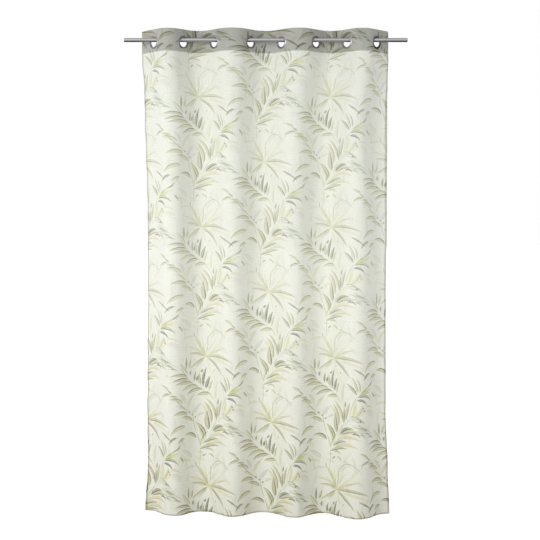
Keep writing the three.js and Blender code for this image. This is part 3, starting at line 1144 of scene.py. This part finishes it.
class Nodes:
    """A node tree built from nothing, node by node."""

    def __init__(self, tree):
        self.tree = tree
        self.tree.nodes.clear()

    def node(self, kind, settings, values, output=0):
        """Adds a node: its settings first, then the values or links of its sockets."""
        node = self.tree.nodes.new(kind)
        for name, setting in settings.items():
            setattr(node, name, setting)
        for socket, value in values.items():
            if isinstance(value, Value):
                self.tree.links.new(value.socket, node.inputs[socket])
            else:
                node.inputs[socket].default_value = value
        return Value(self, node.outputs[output]) if node.outputs else None


class Finish(Nodes):
    """A material's nodes."""

    def __init__(self, name):
        self.material = bpy.data.materials.new(name)
        self.material.use_nodes = True
        super().__init__(self.material.node_tree)

    def mixed(self, factor, first, second, blend="MIX"):
        """One colour mixed into another."""
        settings = {"data_type": "RGBA", "blend_type": blend, "clamp_factor": True}
        values = {MIX_FACTOR: factor, MIX_FIRST: first, MIX_SECOND: second}
        return self.node("ShaderNodeMix", settings, values, MIX_RESULT)

    def place(self):
        return self.node("ShaderNodeTexCoord", {}, {}, "Object")

    def stretched(self, place, scale):
        """A place with each of its axes scaled."""
        settings = {"operation": "MULTIPLY"}
        return self.node("ShaderNodeVectorMath", settings, {0: place, 1: scale})

    def noise(self, place, scale=1.0, detail=PLAIN_DETAIL):
        values = {"Vector": place, "Scale": scale, "Detail": detail}
        return self.node("ShaderNodeTexNoise", {}, values)

    def threads(self, place, direction, scale, distortion):
        """Threads side by side along one axis of a place."""
        settings = {"wave_type": "BANDS", "bands_direction": direction}
        values = {"Vector": place, "Scale": scale, "Distortion": distortion}
        return self.node("ShaderNodeTexWave", settings, values, "Fac")

    def bump(self, height, distance):
        return self.node("ShaderNodeBump", {}, {"Height": height, "Distance": distance})

    def surface(self, values):
        """Ends the finish in a principled surface with these socket values."""
        shader = self.node("ShaderNodeBsdfPrincipled", {}, values)
        self.node("ShaderNodeOutputMaterial", {}, {"Surface": shader})
        return self.material


def opaque(colour, shade=1.0):
    """A colour's four numbers for a socket, darkened by a shade."""
    return (*(part * shade for part in colour), 1.0)


# Cloth: how many blotches, specks, slubs, patches of ink and threads there are to a metre, how much
# each of them darkens the ground or takes from the ink, and how deep the weave is
BLOTCH_SCALE, BLOTCH_SHADE = 7.0, 0.05
SPECKLE_SCALE, SPECKLE_SHADE = 230.0, 0.44
SLUB_SHADE = 0.17
WEFT_STRETCH = (14.0, 260.0, 1.0)
WARP_STRETCH = (290.0, 10.0, 1.0)
INK_PATCH_SCALE = 34.0
SPECKLE_LOSS, PATCH_LOSS = 1.9, 0.5
INK_HELD = 1.12
THREAD_SCALE, THREAD_DISTORTION = 180.0, 0.6
WEAVE_SHARE = 0.5
WEAVE_DEPTH = 0.00022
CLOTH_ROUGHNESS = 0.86
SHEEN_WEIGHT = 0.12
SHEEN_ROUGHNESS = 0.45


def cloth_finish(name, ground, alpha):
    """Woven cloth with the print's ink soaked unevenly into it."""
    finish = Finish(name)
    place = finish.node("ShaderNodeUVMap", {"uv_map": CLOTH_MAP}, {})
    tint = finish.node("ShaderNodeAttribute", {"attribute_name": PRINT_TINT}, {}, "Color")
    speckle = finish.noise(place, SPECKLE_SCALE)
    patch = finish.noise(place, INK_PATCH_SCALE, RICH_DETAIL)
    loss = speckle * SPECKLE_LOSS + patch * PATCH_LOSS - INK_HELD
    ink = finish.mixed(loss, tint, WHITE)
    blotch = finish.noise(place, BLOTCH_SCALE, RICH_DETAIL)
    weft = finish.noise(finish.stretched(place, WEFT_STRETCH))
    warp = finish.noise(finish.stretched(place, WARP_STRETCH))
    shade = BLOTCH_SHADE * blotch + SPECKLE_SHADE * speckle + SLUB_SHADE * (weft + warp)
    tone = 1.0 + (BLOTCH_SHADE + SPECKLE_SHADE) / 2 + SLUB_SHADE - shade
    grey = finish.node("ShaderNodeCombineColor", {}, {0: tone, 1: tone, 2: tone})
    cloth = finish.mixed(1.0, opaque(ground), grey, "MULTIPLY")
    colour = finish.mixed(1.0, cloth, ink, "MULTIPLY")
    upright = finish.threads(place, "X", THREAD_SCALE, THREAD_DISTORTION)
    level = finish.threads(place, "Y", THREAD_SCALE, THREAD_DISTORTION)
    height = WEAVE_SHARE * (upright + level + weft + warp)
    return finish.surface(
        {
            "Base Color": colour,
            "Roughness": CLOTH_ROUGHNESS,
            "Alpha": alpha,
            "Sheen Weight": SHEEN_WEIGHT,
            "Sheen Roughness": SHEEN_ROUGHNESS,
            "Normal": finish.bump(height, WEAVE_DEPTH),
        }
    )


TWIST_SCALE = 1400.0
TWIST_PALING = 0.5
TWIST_DEPTH = 0.0001
THREAD_ROUGHNESS = 0.6


def thread_finish(name, colour):
    """Twisted sewing thread."""
    finish = Finish(name)
    twist = finish.noise(finish.place(), TWIST_SCALE)
    return finish.surface(
        {
            "Base Color": finish.mixed(twist * TWIST_PALING, opaque(colour), WHITE),
            "Roughness": THREAD_ROUGHNESS,
            "Sheen Weight": SHEEN_WEIGHT,
            "Normal": finish.bump(twist, TWIST_DEPTH),
        }
    )


# Satin metal: its clouds and grain to a metre, how much they darken and blur it
SATIN_CLOUD_SCALE, SATIN_GRAIN_SCALE = 60.0, 1900.0
SATIN_CLOUDING, SATIN_SHADE = 0.6, 0.86
SATIN_ROUGHNESS, SATIN_CLOUD_BLUR, SATIN_GRAIN_BLUR = 0.15, 0.10, 0.06
SATIN_GRAIN_DEPTH = 0.00003


def satin_finish(name, colour):
    """Satin plating: soft gloss with faint clouding and a fine grain."""
    finish = Finish(name)
    place = finish.place()
    cloud = finish.noise(place, SATIN_CLOUD_SCALE, RICH_DETAIL)
    grain = finish.noise(place, SATIN_GRAIN_SCALE)
    shaded = opaque(colour, SATIN_SHADE)
    return finish.surface(
        {
            "Base Color": finish.mixed(cloud * SATIN_CLOUDING, opaque(colour), shaded),
            "Metallic": 1.0,
            "Roughness": SATIN_ROUGHNESS + SATIN_CLOUD_BLUR * cloud + SATIN_GRAIN_BLUR * grain,
            "Normal": finish.bump(grain, SATIN_GRAIN_DEPTH),
        }
    )


# Brushed metal: its lines and smudges to a metre along each axis, how much they darken and blur it
BRUSHED_LINES = (6.0, 1500.0, 1500.0)
BRUSHED_SMUDGES = (9.0, 30.0, 30.0)
BRUSHED_SHADE = 0.78
BRUSHED_ROUGHNESS, BRUSHED_LINE_BLUR, BRUSHED_SMUDGE_BLUR = 0.26, 0.14, 0.08
BRUSHED_DEPTH = 0.00004


def brushed_finish(name, colour):
    """Metal drawn along the rod: long fine lines in its gloss and tone."""
    finish = Finish(name)
    place = finish.place()
    lines = finish.noise(finish.stretched(place, BRUSHED_LINES), detail=RICH_DETAIL)
    smudges = finish.noise(finish.stretched(place, BRUSHED_SMUDGES), detail=RICH_DETAIL)
    blur = BRUSHED_LINE_BLUR * lines + BRUSHED_SMUDGE_BLUR * smudges
    return finish.surface(
        {
            "Base Color": finish.mixed(lines, opaque(colour), opaque(colour, BRUSHED_SHADE)),
            "Metallic": 1.0,
            "Roughness": BRUSHED_ROUGHNESS + blur,
            "Normal": finish.bump(lines, BRUSHED_DEPTH),
        }
    )


# Matt stage surfaces
STAGE_CLOUD_SCALE = 0.8
STAGE_SHADE = 0.98
STAGE_ROUGHNESS = 0.9


def stage_finish(name, colour, glow):
    """A matt surface of the studio with faint clouding. A glow lifts it towards white."""
    finish = Finish(name)
    cloud = finish.noise(finish.place(), STAGE_CLOUD_SCALE)
    return finish.surface(
        {
            "Base Color": finish.mixed(cloud, opaque(colour), opaque(colour, STAGE_SHADE)),
            "Roughness": STAGE_ROUGHNESS,
            "Emission Color": WHITE,
            "Emission Strength": glow,
        }
    )


# Sizes and colours a user would change
def colour_setting(name, description, default):
    return FloatVectorProperty(
        name=name,
        description=description,
        default=default,
        size=3,
        min=0.0,
        max=1.0,
        subtype="COLOR",
    )


def length_setting(name, description, default, low, high):
    return FloatProperty(
        name=name,
        description=description,
        default=default,
        min=low,
        max=high,
        precision=4,
        subtype="DISTANCE",
        unit="LENGTH",
    )


class CurtainSizes(bpy.types.PropertyGroup):
    """Sizes of what is sewn and fitted"""

    side_hem: length_setting("Side hem", "Width of the hems down both sides", 0.010, 0.004, 0.04)
    foot_hem: length_setting("Foot hem", "Height of the hem along the foot", 0.008, 0.004, 0.08)
    seam_inset: length_setting(
        "Seam inset", "How far a seam runs inside its edge", 0.0018, 0.0005, 0.01
    )
    stitch_length: length_setting("Stitch length", "Length of one stitch", 0.003, 0.001, 0.01)
    stitch_gap: length_setting("Stitch gap", "Gap between two stitches", 0.001, 0.0003, 0.01)
    thread_width: length_setting(
        "Thread width", "Width of the sewing thread", 0.0006, 0.0002, 0.002
    )
    ring_sides: IntProperty(
        name="Ring sides",
        description="Sides of a turned eyelet ring",
        default=96,
        min=24,
        max=256,
    )
    rod_sides: IntProperty(
        name="Rod sides", description="Sides of the turned rod", default=96, min=24, max=256
    )


class CurtainColours(bpy.types.PropertyGroup):
    """Colours of the cloth, the print's inks, the metal and the floor"""

    sheer: colour_setting("Sheer", "Ground of the sheer panel", (0.790, 0.809, 0.722))
    # Painted shade: the hem's ground is the sheer's own cloth painted darker, standing in for the
    # light that the doubled cloth holds back
    hem: colour_setting("Hem", "Ground where the sheer lies double, painted darker as shade", (0.54, 0.54, 0.48))
    # Painted shade: the heading's ground is the same cloth painted grey, standing in for the light
    # that the stiffened band holds back
    heading: colour_setting("Heading", "Ground of the stiffened heading, painted darker as shade", (0.46, 0.465, 0.425))
    thread: colour_setting("Thread", "Sewing thread", (0.72, 0.72, 0.66))
    eyelet: colour_setting("Eyelets", "Satin nickel of the eyelets", (0.40, 0.40, 0.41))
    rod: colour_setting("Rod", "Brushed grey metal of the rod", (0.66, 0.66, 0.675))
    floor: colour_setting("Floor", "Plain pale floor", (0.93, 0.93, 0.93))
    olive: colour_setting("Olive", "Olive ink", (0.22, 0.23, 0.02))
    dark: colour_setting("Dark olive", "Darkest ink, in the feather leaves", (0.04, 0.05, 0.0))
    tan: colour_setting("Tan", "Tan ink", (0.71, 0.63, 0.38))
    lime: colour_setting("Lime", "Yellow green ink", (0.81, 0.81, 0.46))
    moss: colour_setting("Moss", "Pale olive ink", (0.63, 0.65, 0.42))
    mist: colour_setting("Mist", "Grey green ink", (0.73, 0.755, 0.69))
    straw: colour_setting("Straw", "Pale straw ink", (0.82, 0.77, 0.50))
    blush: colour_setting("Blush", "Pale tan ink", (0.87, 0.765, 0.56))
    lilac: colour_setting("Lilac", "Pale lilac grey ink", (0.73, 0.735, 0.77))


def sizes():
    """The sizes that a user would change."""
    return bpy.context.scene.curtain_sizes


def colours():
    """The colours that a user would change."""
    return bpy.context.scene.curtain_colours


# Pieces: how far the sheer is tucked into the heading, how opaque it is, the holes for the
# eyelets, where the hems' seams start below the heading, and how far from a turned edge its lines
# lie, as shares of its bend
PANEL_TUCK = 0.004
SHEER_ALPHA = 0.92
HOLE_RADIUS = 0.0285
HOLE_SIDES = 64
SEAM_START = 0.002
BEFORE_EDGE, AFTER_EDGE = (-1.0, -0.6, -0.3), (0.3, 0.6, 1.0)
WHOLE_EDGE = (*BEFORE_EDGE, 0.0, *AFTER_EDGE)


def bend_lines(reach, radius, low, high, upright, shares=WHOLE_EDGE):
    """Lines of the flat cloth that round a turned edge."""
    quarter = math.pi / 2 * radius
    lines = []
    for share in shares:
        at = reach + quarter * share
        lines.append(((at, low), (at, high)) if upright else ((low, at), (high, at)))
    return lines


def sheer_panel():
    """The sheer panel, from its tuck in the heading to its foot, with its turned hems."""
    side, foot = sizes().side_hem, sizes().foot_hem
    width, length = CLOTH.width, CLOTH.length
    top = HEADING_HEIGHT - PANEL_TUCK
    outline = closed_outline(
        [
            (-side, top),
            (width + side, top),
            (width + side, length),
            (width, length),
            (width, length + foot),
            (0.0, length + foot),
            (0.0, length),
            (-side, length),
        ]
    )
    lines = [((side, top), (side, length)), ((width - side, top), (width - side, length))]
    lines += [((0.0, length - foot), (width, length - foot))]
    lines += bend_lines(0.0, SIDE_TURN, top, length, True)
    lines += bend_lines(width, SIDE_TURN, top, length, True)
    lines += bend_lines(length, FOOT_TURN, 0.0, width, False)
    leaves = printed_leaves(-side, width + side, top, length + foot)
    # The print is painted paler up high as painted light and deeper at the foot as painted shade
    sheet = FlatSheet(outline, [], lines, leaves, colours(), drop_density_with_painted_light)
    u, w = sheet.middles().T
    double = (u < side) | (u > width - side) | (w > length - foot)
    finishes = [
        cloth_finish("Printed sheer", colours().sheer, SHEER_ALPHA),
        # The hems' copy of the cloth has a darker ground: painted shade
        cloth_finish("Printed sheer, double at the hems, painted darker as shade", colours().hem, 1.0),
    ]
    piece = cloth_object("sheer_panel", sheet, sheer_surface, finishes, double.astype(int))
    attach(piece, "root")
    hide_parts("cloth_panel")
    flat = (width + 2 * side, length + foot - top)


def eyelet_middle(index):
    """An eyelet's middle on the flat cloth, as (u, w)."""
    along = np.interp(CROSSINGS[index].eyelet, *CLOTH.top_row())
    return along, TOP_EDGE + RING_DROP


def heading_band():
    """The heading: the same cloth over its stiffener, folded to the back over the top edge."""
    low, high = -BAND_SPARE, CLOTH.width + BAND_SPARE
    height = HEADING_HEIGHT + 2 * BAND_SPARE
    outline = closed_outline([(low, -height), (high, -height), (high, height), (low, height)])
    angles = 2 * np.pi * np.arange(HOLE_SIDES) / HOLE_SIDES
    circle = HOLE_RADIUS * np.column_stack([np.cos(angles), np.sin(angles)])
    holes = []
    for index in range(len(CROSSINGS)):
        u, w = eyelet_middle(index)
        holes += [circle + (u, w + BAND_SPARE), circle + (u, -w - BAND_SPARE)]
    lines = bend_lines(0.0, BAND_HALF, low, high, False)
    lines += bend_lines(height, BAND_HALF, low, high, False, BEFORE_EDGE)
    lines += bend_lines(-height, BAND_HALF, low, high, False, AFTER_EDGE)
    lines += bend_lines(low, BAND_HALF, -height, height, True, AFTER_EDGE)
    lines += bend_lines(high, BAND_HALF, -height, height, True, BEFORE_EDGE)
    leaves = printed_leaves(low, high, -height, height)
    sheet = FlatSheet(outline, holes, lines, leaves, colours(), heading_density)
    # Its ground is painted darker than the sheer's: painted shade
    finishes = [cloth_finish("Printed heading, painted darker as shade", colours().heading, 1.0)]
    finish_ids = np.zeros(len(sheet.triangles), int)
    piece = cloth_object("heading_band", sheet, heading_surface, finishes, finish_ids)
    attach(piece, "root")
    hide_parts("eyelet_heading")


def eyelet_rings():
    """Eight satin rings, each gripping the rim of its hole."""
    finish = satin_finish("Satin nickel", colours().eyelet)
    profile = ring_profile()
    for index, crossing in enumerate(CROSSINGS):
        along = flat_at(index, TOP_EDGE)[1]
        out = (along[1], -along[0])
        middle = (crossing.eyelet, 0.0, -RING_DROP)
        name = f"eyelet_{index + 1}"
        ring = metal_object(name, profile, sizes().ring_sides, True, finish, out, middle)
        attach(ring, "root")
        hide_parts(f"eyelet_ring_{index + 1}")


def rod():
    """The plain rod, with softened ends and a plug in each."""
    finish = brushed_finish("Brushed grey metal", colours().rod)
    middle = (ROD_LOW + ROD_HIGH) / 2
    sides = sizes().rod_sides
    piece = metal_object("rod", rod_profile(), sides, False, finish, (1.0, 0.0), middle)
    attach(piece, "root")
    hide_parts("curtain_rod")


def stitching():
    """All seams: along the heading's foot and round the sheer's hems, on both faces."""
    inset = sizes().seam_inset
    width, length = CLOTH.width, CLOTH.length
    seam = HEADING_HEIGHT - inset
    side, foot = sizes().side_hem - inset, sizes().foot_hem - inset
    below = HEADING_HEIGHT + SEAM_START
    seams = [
        (heading_surface, (inset, seam), (width - inset, seam)),
        (heading_surface, (inset, -seam), (width - inset, -seam)),
        (sheer_surface, (inset, length - foot), (width - inset, length - foot)),
        (sheer_surface, (inset, length + foot), (width - inset, length + foot)),
        (sheer_surface, (side, below), (side, length)),
        (sheer_surface, (-side, below), (-side, length)),
        (sheer_surface, (width - side, below), (width - side, length)),
        (sheer_surface, (width + side, below), (width + side, length)),
    ]
    points, faces = [], []
    for surface, start, end in seams:
        seam_points, seam_faces = stitches(surface, start, end, sizes())
        faces.append(seam_faces + sum(map(len, points)))
        points.append(seam_points)
    mesh = bpy.data.meshes.new("stitching")
    mesh.from_pydata(np.vstack(points).tolist(), [], np.vstack(faces).tolist())
    mesh.shade_smooth()
    mesh.materials.append(thread_finish("Sewing thread", colours().thread))
    piece = placed("stitching", mesh)
    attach(piece, "root")


# Stage
FLOOR_GAP = 0.060
FLOOR_REACH = 60.0
FLOOR_GLOW = 0.30
CAMERA_PLACE = (0.021, -5.3, -0.899)
CAMERA_LENS = 71.5
CAMERA_SENSOR = 36.0
CAMERA_SHIFT = -0.0889
# Brightness of the room that lights the cloth and of the one that metal mirrors: its level, how it
# slopes along each axis, and how it dims towards both sides, or above and below
STUDIO_LEVEL = 1.29
STUDIO_SLOPE = (-0.08, 0.0, 0.0)
SIDE_DIM = 0.6
METAL_LEVEL = 0.42
METAL_SLOPE = (-0.35, -0.42, 0.35)
METAL_DIM = 0.3
ACROSS, UP = (1.0, 0.0, 0.0), (0.0, 0.0, 1.0)
FLAG_SIDES = 48


class Lamp(NamedTuple):
    """A soft square lamp: its place, the place it faces, its width and its power in watts."""

    place: tuple
    facing: tuple
    width: float
    power: float


KEY_LIGHT = Lamp((-8.0, -8.0, 1.2), (0.0, 0.0, -0.9), 5.0, 380.0)


class Flag(NamedTuple):
    """A round dark card that holds light back from the curtain's head or foot: its height, radius
    and colour."""

    height: float
    radius: float
    colour: tuple


FLAGS = {
    "upper_flag": Flag(0.35, 1.2, (0.2, 0.2, 0.2)),
    "lower_flag": Flag(-2.42, 2.0, (0.26, 0.20, 0.08)),
}


def studio_world():
    """White for the camera, soft light a little brighter from the left for the curtain, and a
    darker room for its metal to mirror."""
    world = bpy.data.worlds.new("Soft studio")
    world.use_nodes = True
    sky = Nodes(world.node_tree)
    way = sky.node("ShaderNodeTexCoord", {}, {}, "Generated")

    def slope(axis):
        """How far the way looks along an axis."""
        return sky.node("ShaderNodeVectorMath", {"operation": "DOT_PRODUCT"}, {0: way, 1: axis}, 1)

    seen = sky.node("ShaderNodeLightPath", {}, {}, "Is Camera Ray")
    mirrored = sky.node("ShaderNodeLightPath", {}, {}, "Is Glossy Ray")
    side, rise = slope(ACROSS), slope(UP)
    soft = STUDIO_LEVEL * (1.0 + slope(STUDIO_SLOPE)) * (1.0 - SIDE_DIM * side * side)
    metal = (METAL_LEVEL + slope(METAL_SLOPE) - METAL_DIM * rise * rise).clamped()
    light = soft + mirrored * (metal - soft)
    strength = light + seen * (1.0 - light)
    background = sky.node("ShaderNodeBackground", {}, {"Color": WHITE, "Strength": strength})
    sky.node("ShaderNodeOutputWorld", {}, {"Surface": background})
    return world


def floor_piece():
    """The floor, which only the camera sees: the lower flag stands in for it in the light."""
    height = FOOT_RIGHT - FLOOR_GAP
    corners = [(-FLOOR_REACH, -FLOOR_REACH), (FLOOR_REACH, -FLOOR_REACH)]
    corners += [(-x, -y) for x, y in corners]
    mesh = bpy.data.meshes.new("floor")
    mesh.from_pydata([(x, y, height) for x, y in corners], [], [range(len(corners))])
    mesh.materials.append(stage_finish("Pale floor", colours().floor, FLOOR_GLOW))
    floor = placed("floor", mesh)
    floor.visible_diffuse = False
    floor.visible_glossy = False


def flag_piece(name, flag):
    """One of the studio's dark cards, which neither the camera nor the metal sees."""
    angles = 2 * np.pi * np.arange(FLAG_SIDES) / FLAG_SIDES
    rim = flag.radius * np.column_stack([np.cos(angles), np.sin(angles)])
    points = np.column_stack([rim, np.full(FLAG_SIDES, flag.height)])
    mesh = bpy.data.meshes.new(name)
    mesh.from_pydata(points.tolist(), [], [range(FLAG_SIDES)])
    mesh.materials.append(stage_finish(name, flag.colour, 0.0))
    card = placed(name, mesh)
    card.visible_camera = False
    card.visible_shadow = False
    card.visible_glossy = False


def lamp_piece(name, lamp):
    """A soft lamp, aimed and unseen."""
    light = bpy.data.lights.new(name, "AREA")
    light.energy = lamp.power
    light.size = lamp.width
    stand = placed(name, light)
    stand.location = lamp.place
    aim = Vector(lamp.facing) - stand.location
    stand.rotation_euler = aim.to_track_quat("-Z", "Y").to_euler()
    stand.visible_camera = False


def camera_piece():
    """The photograph's camera: level, with its view shifted down."""
    camera = placed("camera", bpy.data.cameras.new("camera"))
    camera.location = CAMERA_PLACE
    camera.rotation_euler = (math.pi / 2, 0.0, 0.0)
    camera.data.lens = CAMERA_LENS
    camera.data.sensor_width = CAMERA_SENSOR
    camera.data.shift_y = CAMERA_SHIFT
    return camera


def stage():
    """A plain pale floor under the curtain, soft light and the photograph's camera."""
    scene = bpy.context.scene
    scene.world = studio_world()
    floor_piece()
    for name, flag in FLAGS.items():
        flag_piece(name, flag)
    lamp_piece("key_light", KEY_LIGHT)
    scene.camera = camera_piece()
    scene.view_settings.view_transform = "Standard"


# Operators, and the panel that lists them
class CURTAIN_OT_sheer_panel(bpy.types.Operator):
    """Hang the printed sheer panel with its hems"""

    bl_idname = "curtain.sheer_panel"
    bl_label = "Sheer Panel"

    def execute(self, context):
        sheer_panel()
        return {"FINISHED"}


class CURTAIN_OT_heading(bpy.types.Operator):
    """Fold the stiffened heading band over the top"""

    bl_idname = "curtain.heading"
    bl_label = "Heading Band"

    def execute(self, context):
        heading_band()
        return {"FINISHED"}


class CURTAIN_OT_eyelets(bpy.types.Operator):
    """Set the satin rings in the heading's holes"""

    bl_idname = "curtain.eyelets"
    bl_label = "Eyelet Rings"

    def execute(self, context):
        eyelet_rings()
        return {"FINISHED"}


class CURTAIN_OT_rod(bpy.types.Operator):
    """Turn the rod that carries the curtain"""

    bl_idname = "curtain.rod"
    bl_label = "Rod"

    def execute(self, context):
        rod()
        return {"FINISHED"}


class CURTAIN_OT_stitching(bpy.types.Operator):
    """Sew the heading seam and the hems"""

    bl_idname = "curtain.stitching"
    bl_label = "Stitching"

    def execute(self, context):
        stitching()
        return {"FINISHED"}


class CURTAIN_OT_stage(bpy.types.Operator):
    """Set the floor, the soft light and the camera"""

    bl_idname = "curtain.stage"
    bl_label = "Stage"

    def execute(self, context):
        stage()
        return {"FINISHED"}


OPERATORS = [
    CURTAIN_OT_stage,
    CURTAIN_OT_rod,
    CURTAIN_OT_heading,
    CURTAIN_OT_sheer_panel,
    CURTAIN_OT_eyelets,
    CURTAIN_OT_stitching,
]


class CURTAIN_PT_sidebar(bpy.types.Panel):
    """Sizes, colours and steps of the curtain"""

    bl_label = "Eyelet Sheer Curtain"
    bl_idname = "CURTAIN_PT_sidebar"
    bl_space_type = "VIEW_3D"
    bl_region_type = "UI"
    bl_category = "Curtain"

    def draw(self, context):
        layout = self.layout
        for settings in (context.scene.curtain_sizes, context.scene.curtain_colours):
            box = layout.box()
            for name in settings.__annotations__:
                box.prop(settings, name)
        for operator in OPERATORS:
            layout.operator(operator.bl_idname)


CLASSES = [CurtainSizes, CurtainColours, *OPERATORS, CURTAIN_PT_sidebar]


def register():
    for registered in CLASSES:
        bpy.utils.register_class(registered)
    bpy.types.Scene.curtain_sizes = PointerProperty(type=CurtainSizes)
    bpy.types.Scene.curtain_colours = PointerProperty(type=CurtainColours)


def unregister():
    del bpy.types.Scene.curtain_colours
    del bpy.types.Scene.curtain_sizes
    for registered in reversed(CLASSES):
        bpy.utils.unregister_class(registered)


def main():
    """Builds the curtain and its stage."""
    register()
    bpy.ops.curtain.stage()
    bpy.ops.curtain.rod()
    bpy.ops.curtain.heading()
    bpy.ops.curtain.sheer_panel()
    bpy.ops.curtain.eyelets()
    bpy.ops.curtain.stitching()


if __name__ == "__main__":
    main()
